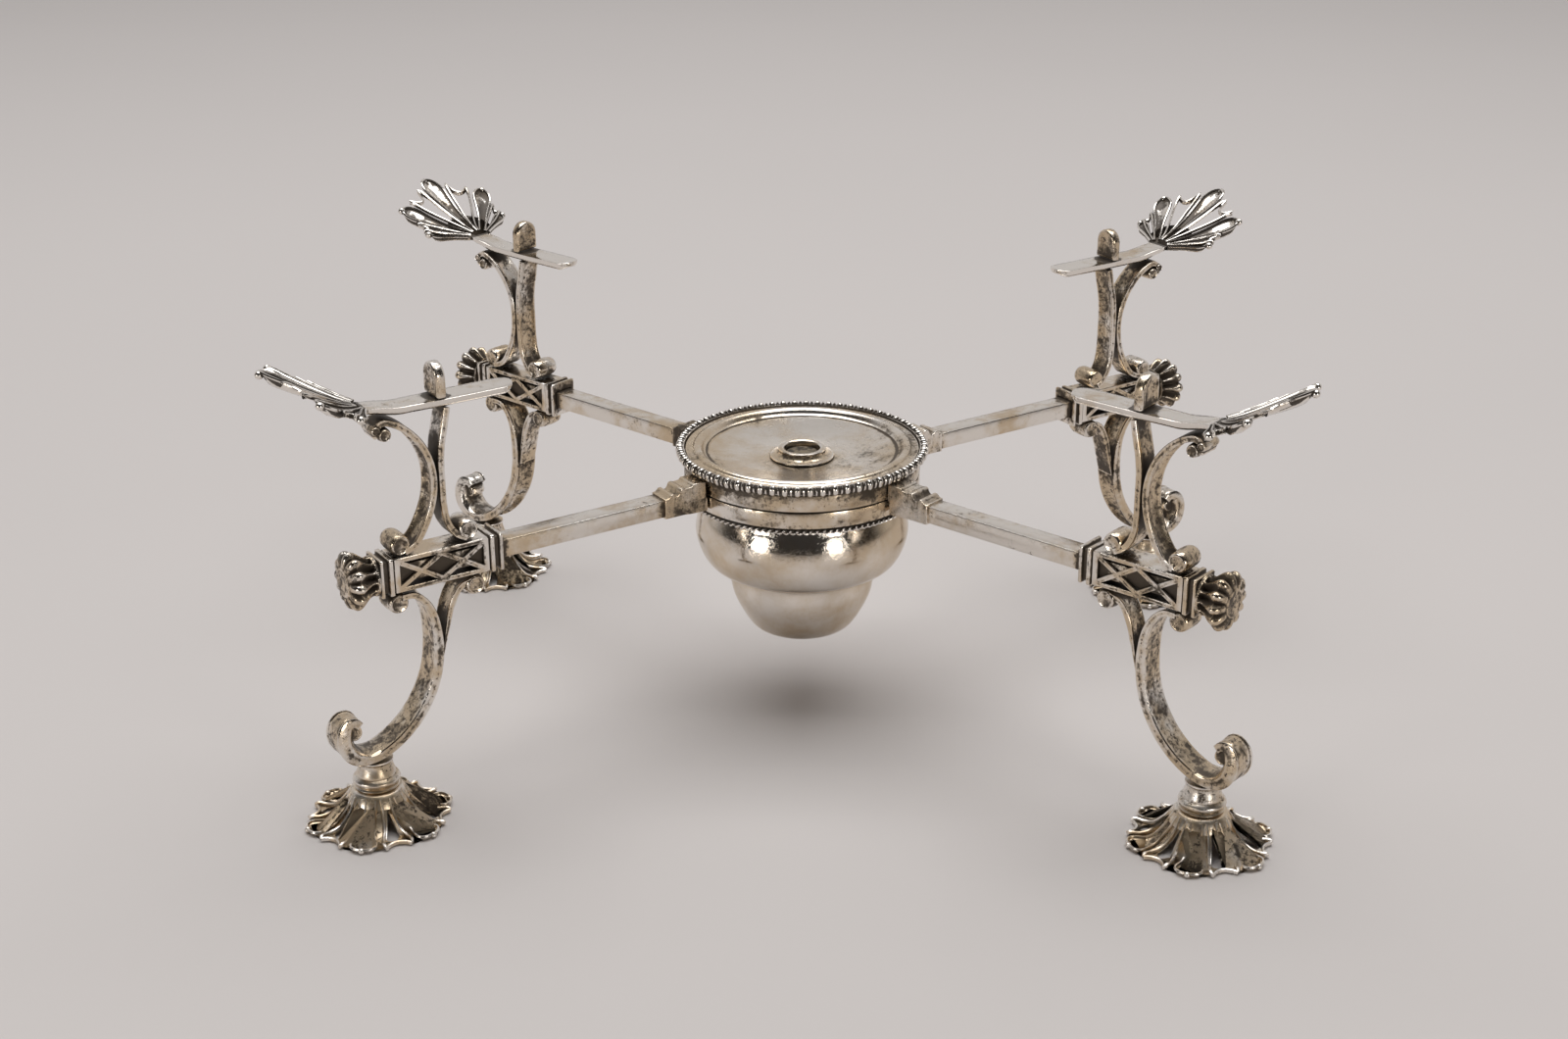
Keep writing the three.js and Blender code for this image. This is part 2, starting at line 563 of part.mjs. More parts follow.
// Bar, its root block and the rosette that closes its end
function bar() {
  const half = BAR_HEIGHT / 2;
  const body = solid(block(BLOCK_END_R + GAP, BAR_END_R, BAR_WIDTH, BAR_Z - half, BAR_Z + half));
  const hole = rod(STUD_R + STUD_CLEARANCE, BAR_END_R - STUD_LENGTH - STUD_CLEARANCE, BAR_END_R + 1);
  return body.subtract(solid(hole));
}

function rootBlock() {
  const start = RING_OUTER_R + GAP;
  const x = (share) => start + share * BLOCK_LENGTH;
  const tip = BLOCK_TIP_HEIGHT / 2;
  const base = BAR_Z - BLOCK_DROP;
  const outline = [
    [start - 4, base], [x(0.3), base], [x(0.55), BAR_Z - tip], [x(1), BAR_Z - tip], [x(1), BAR_Z + tip],
    [x(0.8), BAR_Z + tip], [x(0.76), RING_TOP_Z - 2 * BLOCK_STEP], [x(0.6), RING_TOP_Z - 2 * BLOCK_STEP],
    [x(0.55), RING_TOP_Z - BLOCK_STEP], [x(0.44), RING_TOP_Z - BLOCK_STEP], [x(0.38), RING_TOP_Z],
    [start - 4, RING_TOP_Z],
  ];
  const reach = [[0, base - 1], [start, base - 1], [start, RING_TOP_Z + 1], [0, RING_TOP_Z + 1]];
  return solid(sideCut(outline, BLOCK_WIDTH)).subtract(solid(turned(reach, RING_SEGMENTS)));
}

function rosette() {
  const start = BAR_END_R + GAP;
  const x = (share) => start + share * ROSETTE_LENGTH;
  const profile = [
    [0, x(0)], [0.6 * ROSETTE_R, x(0)], [0.64 * ROSETTE_R, x(0.2)], [0.73 * ROSETTE_R, x(0.45)],
    [0.9 * ROSETTE_R, x(0.7)], [ROSETTE_R, x(0.88)], [0.93 * ROSETTE_R, x(1)], [ROSETTE_DISC_R, x(0.86)],
    [0, x(0.86)],
  ];
  const geometry = turned(profile, 2 * ROSETTE_FLUTES);
  const place = geometry.attributes.position;
  for (let i = 0; i < place.count; i += 1) {
    const radius = Math.hypot(place.getX(i), place.getY(i));
    const flute = Math.cos(ROSETTE_FLUTES * Math.atan2(place.getY(i), place.getX(i)));
    const depth = FLUTE_DEPTH * ease(radius, ROSETTE_DISC_R, ROSETTE_R) * (flute - 1) / 2;
    const scale = radius > 0 ? (radius + depth) / radius : 1;
    place.setXY(i, place.getX(i) * scale, place.getY(i) * scale);
  }
  geometry.rotateY(Math.PI / 2);
  geometry.translate(0, 0, BAR_Z);
  return solid(geometry).add(solid(rod(STUD_R, start - STUD_LENGTH, start + 1)));
}

// The four quarters: each holds a bar with its block and rosette, and the bracket that slides on it
const CORNERS = {
  front_right: -BAR_ANGLE,
  rear_right: BAR_ANGLE,
  rear_left: 180 - BAR_ANGLE,
  front_left: 180 + BAR_ANGLE,
};

for (const [corner, degrees] of Object.entries(CORNERS)) {
  const quarter = new THREE.Group();
  quarter.rotation.z = radians(degrees);
  addPiece(quarter, `${corner}_bar`, bar(), wornSilver);
  addPiece(quarter, `${corner}_root_block`, rootBlock(), wornSilver);
  addPiece(quarter, `${corner}_rosette`, rosette(), castSilver);
  addPiece(quarter, `${corner}_sleeve`, sleeve(), castSilver);
  addPiece(quarter, `${corner}_upper_outer_scroll`, upperOuterScroll(), castSilver);
  addPiece(quarter, `${corner}_upper_inner_scroll`, upperInnerScroll(), castSilver);
  addPiece(quarter, `${corner}_dish_rest`, dishRest(), wornSilver);
  addPiece(quarter, `${corner}_dish_stop`, dishStop(), wornSilver);
  addPiece(quarter, `${corner}_leg`, leg(), castSilver);
  addPiece(quarter, `${corner}_under_scroll`, underScroll(), castSilver);
  addPiece(quarter, `${corner}_foot_knop`, footKnop(), castSilver);
  addPiece(quarter, `${corner}_foot_shell`, footShell(), castSilver);
  part.add(quarter);
}

// Rings: the upper one, the sleeve inside both and the rope wire are one body, and the lower one turns on it
const ropeRadius = RING_SLEEVE_R + GAP + ROPE_R;
const ropeWire = closed(new THREE.TorusGeometry(ropeRadius, ROPE_R, 5, RING_SEGMENTS));
ropeWire.translate(0, 0, RING_BASE_Z - RUNNING_GAP - ROPE_R);

const flatRing = (z0, z1) => ring(RING_INNER_R, RING_OUTER_R, z0, z1);
addPiece(part, 'upper_ring', flatRing(SEAM_Z + RUNNING_GAP / 2, RING_TOP_Z), wornSilver);
addPiece(part, 'lower_ring', flatRing(RING_BASE_Z, SEAM_Z - RUNNING_GAP / 2), wornSilver);
addPiece(part, 'ring_sleeve', ring(
  RING_SLEEVE_R - RING_SLEEVE_WALL, RING_SLEEVE_R, RING_BASE_Z - RUNNING_GAP - 2 * ROPE_R, RING_TOP_Z,
), wornSilver);
addPiece(part, 'rope_wire', ropeWire, wornSilver);

// Lamp body: a bowl of two bulges with a flange that rests on the upper ring
function lampBody() {
  const bellyZ = (share) => WAIST_Z + share * (FLANGE_Z - WAIST_Z);
  const cupZ = (share) => WAIST_Z - CUP_HEIGHT * (1 - share);
  const cup = [
    [0, 0], [0.25, 0.01], [0.47, 0.04], [0.62, 0.1], [0.71, 0.16], [0.78, 0.26], [0.85, 0.385],
    [0.92, 0.52], [0.965, 0.65], [0.995, 0.8], [1, 1],
  ].map(([across, up]) => [across * WAIST_R, cupZ(up)]);
  const belly = [
    [0.722, 0.015], [0.783, 0.036], [0.84, 0.062], [0.887, 0.1], [0.927, 0.148], [0.977, 0.237],
    [1, 0.34], [0.967, 0.47], [0.94, 0.544],
  ].map(([across, up]) => [across * BELLY_R, bellyZ(up)]);
  const outside = [
    ...cup, ...belly,
    [NECK_R, bellyZ(0.615)], [NECK_R, FLANGE_Z],
    [FLANGE_R, FLANGE_Z], [FLANGE_R, FLANGE_Z + FLANGE_THICKNESS],
  ];
  const inside = outside.slice(0, -3).map(([r, z], i) => {
    const [r0, z0] = outside[Math.max(0, i - 1)];
    const [r1, z1] = outside[i + 1];
    const scale = LAMP_WALL / Math.hypot(r1 - r0, z1 - z0);
    return [Math.max(0, r - (z1 - z0) * scale), z + (r1 - r0) * scale];
  });
  inside.push([NECK_R - LAMP_WALL, FLANGE_Z + FLANGE_THICKNESS]);
  return turned([...outside, ...inside.reverse()], LAMP_SEGMENTS);
}

// Cover: a dished pan with a raised ring and a skirt that locates it in the lamp's neck
function coverPan() {
  const tubeHole = WICK_TUBE_R + GAP;
  const top = COVER_Z + COVER_THICKNESS;
  const skirtR = NECK_R - LAMP_WALL - RUNNING_GAP;
  const skirtZ = COVER_Z - COVER_SKIRT_DEPTH;
  const dish = [[tubeHole / COVER_R, 0], [0.3, 0], [0.45, 0.1], [0.62, 0.34], [0.78, 0.625]].map(
    ([across, up]) => [across * COVER_R, COVER_DISC_Z + up * COVER_DISH_DEPTH],
  );
  const underside = dish.map(([r, z]) => [Math.min(r, skirtR - COVER_SKIRT_WALL), z - COVER_THICKNESS]);
  return turned([
    ...dish, [0.86 * COVER_R, top], [0.88 * COVER_R, top + COVER_RING_RISE],
    [0.93 * COVER_R, top + COVER_RING_RISE], [0.955 * COVER_R, top], [COVER_R, top], [COVER_R, COVER_Z],
    [skirtR, COVER_Z], [skirtR, skirtZ], [skirtR - COVER_SKIRT_WALL, skirtZ], ...underside.reverse(), dish[0],
  ], LAMP_SEGMENTS);
}

// Border: a ring round the pan whose outer edge swells and narrows with its beads
function beadBorder() {
  const innerR = COVER_R + GAP;
  const base = RING_TOP_Z + GAP;
  const geometry = turned([
    [innerR, base + 0.25 * BORDER_HEIGHT], [0.5 * (innerR + BORDER_OUTER_R), base],
    [BORDER_OUTER_R, base + 0.4 * BORDER_HEIGHT], [innerR + 0.4, base + BORDER_HEIGHT],
    [innerR, base + 0.25 * BORDER_HEIGHT],
  ], 2 * BORDER_BEADS);
  const place = geometry.attributes.position;
  for (let i = 0; i < place.count; i += 1) {
    const radius = Math.hypot(place.getX(i), place.getY(i));
    const bead = Math.cos(BORDER_BEADS * Math.atan2(place.getY(i), place.getX(i)));
    const depth = radius > innerR + 0.5 ? BEAD_DEPTH * (bead - 1) / 2 : 0;
    const scale = (radius + depth) / radius;
    place.setXY(i, place.getX(i) * scale, place.getY(i) * scale);
  }
  return geometry;
}

function wickTube() {
  const hole = WICK_TUBE_R - WICK_TUBE_WALL;
  const foot = COVER_DISC_Z + GAP;
  const base = COVER_DISC_Z - WICK_TUBE_DROP;
  return turned([
    [hole, base], [WICK_TUBE_R, base], [WICK_TUBE_R, foot], [WICK_TUBE_FLARE_R, foot],
    [WICK_TUBE_FLARE_R - 0.3, foot + 0.5], [WICK_TUBE_R + 0.2, foot + 1.1],
    [WICK_TUBE_R, WICK_TUBE_TOP_Z - 0.5], [WICK_TUBE_R - 0.5, WICK_TUBE_TOP_Z], [hole, WICK_TUBE_TOP_Z - 0.3],
    [hole, base],
  ], 16);
}

function wick() {
  const radius = WICK_TUBE_R - WICK_TUBE_WALL - WICK_CLEARANCE;
  const top = WICK_TUBE_TOP_Z - 1.6;
  return turned([[0, top - WICK_LENGTH], [radius, top - WICK_LENGTH], [radius, top], [0, top + 0.4]], 10);
}

addPiece(part, 'lamp_body', lampBody(), polishedSilver);
addPiece(part, 'cover_pan', coverPan(), polishedSilver);
addPiece(part, 'bead_border', beadBorder(), polishedSilver);
addPiece(part, 'wick_tube', wickTube(), wornSilver);
addPiece(part, 'wick', wick(), cotton);

export default part;
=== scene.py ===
"""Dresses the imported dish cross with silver, wire-rimmed castings and a plain studio stage."""
import json
import math

import bmesh
import bpy
from mathutils import Matrix, Vector
from mathutils.bvhtree import BVHTree

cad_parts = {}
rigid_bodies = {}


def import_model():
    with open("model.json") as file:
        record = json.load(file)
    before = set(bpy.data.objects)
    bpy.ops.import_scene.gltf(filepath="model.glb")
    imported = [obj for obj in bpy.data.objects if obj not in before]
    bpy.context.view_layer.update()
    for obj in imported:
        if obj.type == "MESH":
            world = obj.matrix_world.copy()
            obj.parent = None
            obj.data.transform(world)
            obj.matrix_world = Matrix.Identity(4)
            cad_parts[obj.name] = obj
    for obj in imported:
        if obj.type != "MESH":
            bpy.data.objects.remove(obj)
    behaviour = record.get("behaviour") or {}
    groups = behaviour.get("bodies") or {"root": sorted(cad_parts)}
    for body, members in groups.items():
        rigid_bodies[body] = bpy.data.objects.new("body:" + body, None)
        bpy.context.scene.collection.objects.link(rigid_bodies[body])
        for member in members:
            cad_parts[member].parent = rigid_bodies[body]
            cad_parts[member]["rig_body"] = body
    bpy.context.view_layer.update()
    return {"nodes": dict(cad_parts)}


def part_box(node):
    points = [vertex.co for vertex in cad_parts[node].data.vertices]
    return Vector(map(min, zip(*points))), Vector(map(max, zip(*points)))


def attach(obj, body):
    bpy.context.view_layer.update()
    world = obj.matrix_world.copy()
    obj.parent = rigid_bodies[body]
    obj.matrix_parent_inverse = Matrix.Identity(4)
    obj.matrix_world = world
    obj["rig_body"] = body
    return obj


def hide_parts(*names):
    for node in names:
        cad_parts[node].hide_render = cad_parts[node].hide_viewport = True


bl_info = {
    "name": "Dish Cross",
    "version": (1, 0, 0),
    "blender": (4, 5, 0),
    "location": "View3D > Sidebar > Dish Cross",
    "description": "Detailed silver pieces, finishes and stage for the dish cross",
    "category": "Add Mesh",
}

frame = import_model()

MM = 0.001
X, Y, Z = Vector((1, 0, 0)), Vector((0, 1, 0)), Vector((0, 0, 1))
CORNERS = {"front_right": -37, "rear_right": 37, "rear_left": 143, "front_left": 217}
UPPER_CORNERS = ("front_right", "rear_left")
MODEL_CORNER = "rear_right"
CENTRE_NODES = (
    "upper_ring", "lower_ring", "ring_sleeve", "rope_wire", "lamp_body", "cover_pan", "bead_border",
    "wick_tube", "wick",
)

# Sizes of the solids, in millimetres. A bracket's frame has x out along its bar.
GAP = 0.3
BAR_Z = 67.5
BAR_END = 128.0
SLEEVE_MID = 111.15
SLEEVE_HALF = 16.85
SLEEVE_TOP = 72.1
SLEEVE_BASE = 62.9
BLOCK_END = 46.0
BLOCK_HALF_WIDTH = 3.5
RING_OUTER = 32.6
RING_INNER = 31.1
RING_TOP = 72.9
RING_BASE = 63.5
SEAM = 68.2
SCROLL_BASE = 72.4
SCROLL_HEIGHT = 36.1
STRAP_WIDTH = 6.4
STRAP_THICKNESS = 1.7
ROLL_WIDTH = 7.6
ROLL_R = 2.8
LEG_BASE = 17.9
LEG_HEIGHT = 44.7
LEG_WIDTH = 7.8
LEG_THICKNESS = 2.6
REST_TOP = 111.0
REST_TIP = SLEEVE_MID - 23.4
REST_NECK = 126.8
REST_HALF_WIDTH = 3.9
NECK_HALF_WIDTH = 3.3
PALMETTE_LENGTH = 26.0
PALMETTE_SPREAD = 29.3
PALMETTE_RISE = 13.6
FOOT_AXIS = 131.7
FOOT_R = 19.6
FOOT_NECK = 6.3
FOOT_RISE = 9.5
FOOT_PLATE = 1.1
FOOT_TURN = -8
FLANGE_Z = 73.2
COVER_Z = 74.2
DISC_Z = 71.8
BORDER_R = 33.7
BORDER_Z = 74.75
BEAD_R = 1.22
ROPE_R = 31.9
ROPE_Z = 62.4
STRAND_R = 0.8


# Properties

class CastingSizes(bpy.types.PropertyGroup):
    """Sizes of the cast ornament."""
    rim_radius: bpy.props.FloatProperty(
        name="Rim radius", description="Radius of the wire-like rim round each petal",
        default=0.36 * MM, unit="LENGTH")
    rib_radius: bpy.props.FloatProperty(
        name="Rib radius", description="Radius of the ribs between the petals",
        default=0.42 * MM, unit="LENGTH")
    tip_bead_radius: bpy.props.FloatProperty(
        name="Tip bead radius", description="Radius of the bead on each petal's tip",
        default=1.1 * MM, unit="LENGTH")
    groove_depth: bpy.props.FloatProperty(
        name="Groove depth", description="Depth of the groove along each strap, as a share of its thickness",
        default=0.62, min=0, max=1, subtype="FACTOR")


class CrossSizes(bpy.types.PropertyGroup):
    """Sizes of the bars and rings."""
    edge_radius: bpy.props.FloatProperty(
        name="Edge radius", description="Worn rounding of the edges of the bars and blocks",
        default=0.3 * MM, unit="LENGTH")
    bar_width: bpy.props.FloatProperty(
        name="Bar width", description="Width of a bar", default=6 * MM, unit="LENGTH")
    bar_height: bpy.props.FloatProperty(
        name="Bar height", description="Height of a bar",
        default=(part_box("front_right_bar")[1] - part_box("front_right_bar")[0]).z, unit="LENGTH")


class LampSizes(bpy.types.PropertyGroup):
    """Sizes of the lamp's border and wire."""
    border_beads: bpy.props.IntProperty(
        name="Border beads", description="Beads round the border of the cover", default=64, min=12)
    rope_turns: bpy.props.IntProperty(
        name="Rope turns", description="Twists of the rope wire round the lamp", default=56, min=8)


class SilverLook(bpy.types.PropertyGroup):
    """Colours of the old silver."""
    bright: bpy.props.FloatVectorProperty(
        name="Bright silver", description="Colour of the polished metal", subtype="COLOR",
        default=(0.84, 0.795, 0.74), min=0, max=1)
    warm: bpy.props.FloatVectorProperty(
        name="Warm tarnish", description="Colour of the thin yellow-brown tarnish", subtype="COLOR",
        default=(0.57, 0.42, 0.24), min=0, max=1)
    # The dark colour marks real tarnish patches and also painted shade in recesses and between parts.
    dark: bpy.props.FloatVectorProperty(
        name="Dark tarnish", description="Colour of the tarnish left in recesses", subtype="COLOR",
        default=(0.055, 0.042, 0.032), min=0, max=1)
    wick: bpy.props.FloatVectorProperty(
        name="Wick", description="Colour of the browned cotton", subtype="COLOR",
        default=(0.20, 0.16, 0.11), min=0, max=1)


class StageLook(bpy.types.PropertyGroup):
    """Floor and light of the stage."""
    floor: bpy.props.FloatVectorProperty(
        name="Floor", description="Colour of the paper under the object", subtype="COLOR",
        default=(0.62, 0.585, 0.57), min=0, max=1)
    light: bpy.props.FloatProperty(
        name="Light", description="Power of the overhead light", default=36, min=0, unit="POWER")


# Meshes

def lay(bm, columns, rows, place, cap=False):
    """Adds a grid whose corners stand at place(column, row), joined where they meet."""
    made = bmesh.ops.create_grid(bm, x_segments=columns, y_segments=rows, size=1)["verts"]
    for v in made:
        v.co = place(round((v.co.x + 1) / 2 * columns), round((v.co.y + 1) / 2 * rows))
    bmesh.ops.remove_doubles(bm, verts=made, dist=1e-3)
    if cap:
        made = [v for v in made if v.is_valid]
        rims = {e for v in made for e in v.link_edges if e.is_boundary}
        bmesh.ops.holes_fill(bm, edges=list(rims), sides=0)


def spun(bm, profile, segments=96, centre=(0, 0, 0), axis="Z"):
    """Adds a profile of (radius, height) pairs turned about an axis through centre."""
    middle = Vector(centre)
    last = len(profile) - 1

    def place(column, row):
        radius, height = profile[min(row, last)]
        angle = 2 * math.pi * (column % segments) / segments
        a, b = radius * math.cos(angle), radius * math.sin(angle)
        return middle + Vector((a, height, b) if axis == "Y" else (a, b, height))

    lay(bm, segments, last, place)


def curve(points, count):
    """Evenly spaced points along a smooth curve through points."""
    known = [Vector(p) for p in points]
    known = [2 * known[0] - known[1]] + known + [2 * known[-1] - known[-2]]
    fine = []
    for i in range(1, len(known) - 2):
        p0, p1, p2, p3 = known[i - 1:i + 3]
        for step in range(24):
            t = step / 24
            fine.append(0.5 * (
                2 * p1 + (p2 - p0) * t + (2 * p0 - 5 * p1 + 4 * p2 - p3) * t ** 2
                + (3 * p1 - p0 - 3 * p2 + p3) * t ** 3))
    fine.append(known[-2].copy())
    lengths = [0.0]
    for a, b in zip(fine, fine[1:]):
        lengths.append(lengths[-1] + (b - a).length)
    out = []
    k = 0
    for i in range(count):
        goal = lengths[-1] * i / (count - 1)
        while k < len(fine) - 2 and lengths[k + 1] < goal:
            k += 1
        span = lengths[k + 1] - lengths[k]
        out.append(fine[k].lerp(fine[k + 1], (goal - lengths[k]) / span if span else 0))
    return out


def outline_curve(pairs, count):
    """Evenly spaced (radius, height) pairs along a smooth curve through pairs."""
    return [(p.x, p.z) for p in curve([(radius, 0, height) for radius, height in pairs], count)]


def circle(radius, height, count):
    """Even points round the lamp's axis."""
    turns = [2 * math.pi * k / count for k in range(count)]
    return [Vector((radius * math.cos(turn), radius * math.sin(turn), height)) for turn in turns]


def sweep(bm, path, side, ring_at, closed=False):
    """Adds a tube along path: side(ahead) is its cross direction, ring_at(share) its (across, out) ring."""
    count = len(path)
    rings = []
    for i, at in enumerate(path):
        if closed:
            ahead = path[(i + 1) % count] - path[i - 1]
        else:
            ahead = path[min(i + 1, count - 1)] - path[max(i - 1, 0)]
        ahead.normalize()
        across = side(ahead).normalized()
        out = ahead.cross(across)
        rings.append([at + across * a + out * o for a, o in ring_at(i / (count - 1))])
    around = len(rings[0])
    columns = count if closed else count - 1
    lay(bm, columns, around, lambda i, j: rings[i % count][j % around], cap=not closed)


def flat_side(ahead):
    """Cross direction of a rib that lies on a fan: level, and square to its path."""
    return Z.cross(ahead)


def round_ring(radius, height, corners=8):
    """A ring of (across, out) corners: an ellipse radius wide and height high."""
    turns = [2 * math.pi * k / corners for k in range(corners)]
    return [(radius * math.cos(turn), height * math.sin(turn)) for turn in turns]


def ease(x, low, high):
    """Smooth step from 0 at low to 1 at high."""
    t = min(1.0, max(0.0, (x - low) / (high - low)))
    return t * t * (3 - 2 * t)


def mix(a, b, share):
    return a + (b - a) * share


def between(pairs, at):
    """Straight-line value of a table of (place, value) pairs."""
    for (x0, y0), (x1, y1) in zip(pairs, pairs[1:]):
        if at <= x1:
            return mix(y0, y1, (at - x0) / (x1 - x0))
    return pairs[-1][1]


# Wear, tarnish and painted shade

RAYS = [(0.0, 0.0)] + [(35.0, 72.0 * k) for k in range(5)] + [(66.0, 60.0 * k + 30) for k in range(6)]
REACH = 5.0


def solids_near(nodes, degrees):
    """Solids as one tree of faces in millimetres, in the frame of the bar at degrees."""
    turn = Matrix.Rotation(-math.radians(degrees), 4, "Z") @ Matrix.Scale(1 / MM, 4)
    places, faces = [], []
    for name in nodes:
        mesh = frame["nodes"][name].data
        first = len(places)
        places.extend(turn @ v.co for v in mesh.vertices)
        faces.extend([first + i for i in p.vertices] for p in mesh.polygons)
    return BVHTree.FromPolygons(places, faces)


def weather_and_shade(bm, neighbours):
    """Stores how deeply each corner lies in a recess, and how exposed it is on an edge, from 0 to 1. The
    recess value, cast against the piece and its neighbouring solids, becomes painted shade as well as tarnish
    in the finish.
    """
    bm.normal_update()
    hollow = bm.verts.layers.float.new("hollow")
    worn = bm.verts.layers.float.new("worn")
    # Neighbouring solids block rays too, so corners close under or between parts get painted shade.
    trees = [BVHTree.FromBMesh(bm), neighbours]
    for v in bm.verts:
        n = v.normal
        if n.length < 0.5:
            continue
        bends = [n.dot((v.co - e.other_vert(v).co).normalized()) for e in v.link_edges]
        v[worn] = min(1.0, max(0.0, 2.4 * sum(bends) / max(1, len(bends))))
        a = n.orthogonal().normalized()
        b = n.cross(a)
        start = v.co + n * 0.06
        total = 0.0
        for tilt, turn in RAYS:
            lean, spin = math.radians(tilt), math.radians(turn)
            ray = n * math.cos(lean) + (a * math.cos(spin) + b * math.sin(spin)) * math.sin(lean)
            hits = [tree.ray_cast(start, ray, REACH)[3] for tree in trees]
            total += 1 - min([far for far in hits if far is not None], default=REACH) / REACH
        v[hollow] = total / len(RAYS)


def slice_along(bm, axis, step=3.0):
    """Cuts the mesh at even steps along an axis, so that the tarnish and painted shade can vary along it."""
    places = [v.co.dot(axis) for v in bm.verts]
    low, span = min(places), max(places) - min(places)
    count = round(span / step)
    for k in range(1, count):
        bmesh.ops.bisect_plane(bm, geom=bm.verts[:] + bm.edges[:] + bm.faces[:], dist=1e-4,
                               plane_co=axis * (low + span * k / count), plane_no=axis)


def mend(bm, crease=38.0):
    """Points the faces outwards and keeps only edges sharper than crease degrees hard."""
    bmesh.ops.recalc_face_normals(bm, faces=bm.faces)
    for face in bm.faces:
        face.smooth = True
    for edge in bm.edges:
        edge.smooth = not edge.is_manifold or edge.calc_face_angle(0) < math.radians(crease)


def soften(bm, edges, radius, segments=2):
    """Rounds the edges."""
    bmesh.ops.bevel(bm, geom=list(edges), offset=radius, offset_type="OFFSET", affect="EDGES",
                    segments=segments, profile=0.5, material=-1, clamp_overlap=True)


def slab(bm, centre, size, radius, segments=1):
    """A flat bar of metal with rounded edges."""
    cube = bmesh.ops.create_cube(bm, size=1)["verts"]
    bmesh.ops.scale(bm, verts=cube, vec=size)
    bmesh.ops.translate(bm, verts=cube, vec=centre)
    soften(bm, {e for v in cube for e in v.link_edges}, radius, segments)


def show(mesh, node, finish):
    """Links a finished mesh as the piece that stands for a solid and rides on its body."""
    mesh.materials.append(finish_named(finish))
    piece = bpy.data.objects.new(f"{node}_silver", mesh)
    bpy.context.scene.collection.objects.link(piece)
    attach(piece, frame["nodes"][node]["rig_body"])
    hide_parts(node)


def dress_corner(kind, shape, finish, corners=tuple(CORNERS), crease=38.0):
    """Shapes one piece of a bracket and sets a copy of it in each quarter."""
    bm = bmesh.new()
    shape(bm)
    mend(bm, crease)
    near = [n for n in frame["nodes"] if n.startswith(MODEL_CORNER) and n != f"{MODEL_CORNER}_{kind}"]
    weather_and_shade(bm, solids_near(near, CORNERS[MODEL_CORNER]))
    pattern = bpy.data.meshes.new(kind)
    bm.to_mesh(pattern)
    bm.free()
    for corner in corners:
        mesh = pattern.copy()
        mesh.transform(Matrix.Rotation(math.radians(CORNERS[corner]), 4, "Z") @ Matrix.Scale(MM, 4))
        show(mesh, f"{corner}_{kind}", finish)
    bpy.data.meshes.remove(pattern)


def dress_centre(node, shape, finish):
    """Shapes one piece of the lamp or the rings."""
    bm = bmesh.new()
    shape(bm)
    mend(bm)
    weather_and_shade(bm, solids_near([n for n in CENTRE_NODES if n != node], 0))
    mesh = bpy.data.meshes.new(node)
    bm.to_mesh(mesh)
    bm.free()
    mesh.transform(Matrix.Scale(MM, 4))
    show(mesh, node, finish)


# Finishes

class Value:
    """A socket of a material, on which sums add Math nodes."""

    def __init__(self, tree, socket):
        self.tree = tree
        self.socket = socket

    def math(self, operation, *terms):
        node = self.tree.nodes.new("ShaderNodeMath")
        node.operation = operation
        for socket, term in zip(node.inputs, terms):
            connect(self.tree, term, socket)
        return Value(self.tree, node.outputs[0])

    def __add__(self, other):
        return self.math("ADD", self, other)

    def __mul__(self, other):
        return self.math("MULTIPLY", self, other)

    def __sub__(self, other):
        return self.math("SUBTRACT", self, other)

    def __rsub__(self, other):
        return self.math("SUBTRACT", other, self)

    __radd__ = __add__
    __rmul__ = __mul__

    def rise(self, low, high):
        """0 where the value is under low, 1 over high, and smooth between."""
        node = self.tree.nodes.new("ShaderNodeMapRange")
        node.interpolation_type = "SMOOTHSTEP"
        connect(self.tree, self, node.inputs["Value"])
        node.inputs["From Min"].default_value = low
        node.inputs["From Max"].default_value = high
        return Value(self.tree, node.outputs[0])


def connect(tree, term, socket):
    if isinstance(term, Value):
        tree.links.new(term.socket, socket)
    else:
        socket.default_value = term


class Finish:
    """A material built from nodes."""

    def __init__(self, name):
        self.material = bpy.data.materials.new(name)
        self.material.use_nodes = True
        self.tree = self.material.node_tree
        self.tree.nodes.clear()

    def node(self, kind, settings=None, inputs=None, output=0):
        """A node of this kind: its settings are set first, then its sockets."""
        made = self.tree.nodes.new("ShaderNode" + kind)
        for key, value in (settings or {}).items():
            setattr(made, key, value)
        for key, value in (inputs or {}).items():
            connect(self.tree, value, made.inputs[key])
        return Value(self.tree, made.outputs[output]) if len(made.outputs) else None

    def blend(self, a, b, factor):
        """Colour a, turning to colour b as factor goes from 0 to 1."""
        return self.node("Mix", {"data_type": "RGBA"}, {0: factor, 6: a, 7: b}, output=2)

    def noise(self, place, scale, detail=4.0, roughness=0.6):
        inputs = {"Vector": place, "Scale": scale, "Detail": detail, "Roughness": roughness}
        return self.node("TexNoise", {}, inputs)

    def close(self, inputs):
        shader = self.node("BsdfPrincipled", {}, inputs)
        self.node("OutputMaterial", {}, {"Surface": shader})
        return self.material


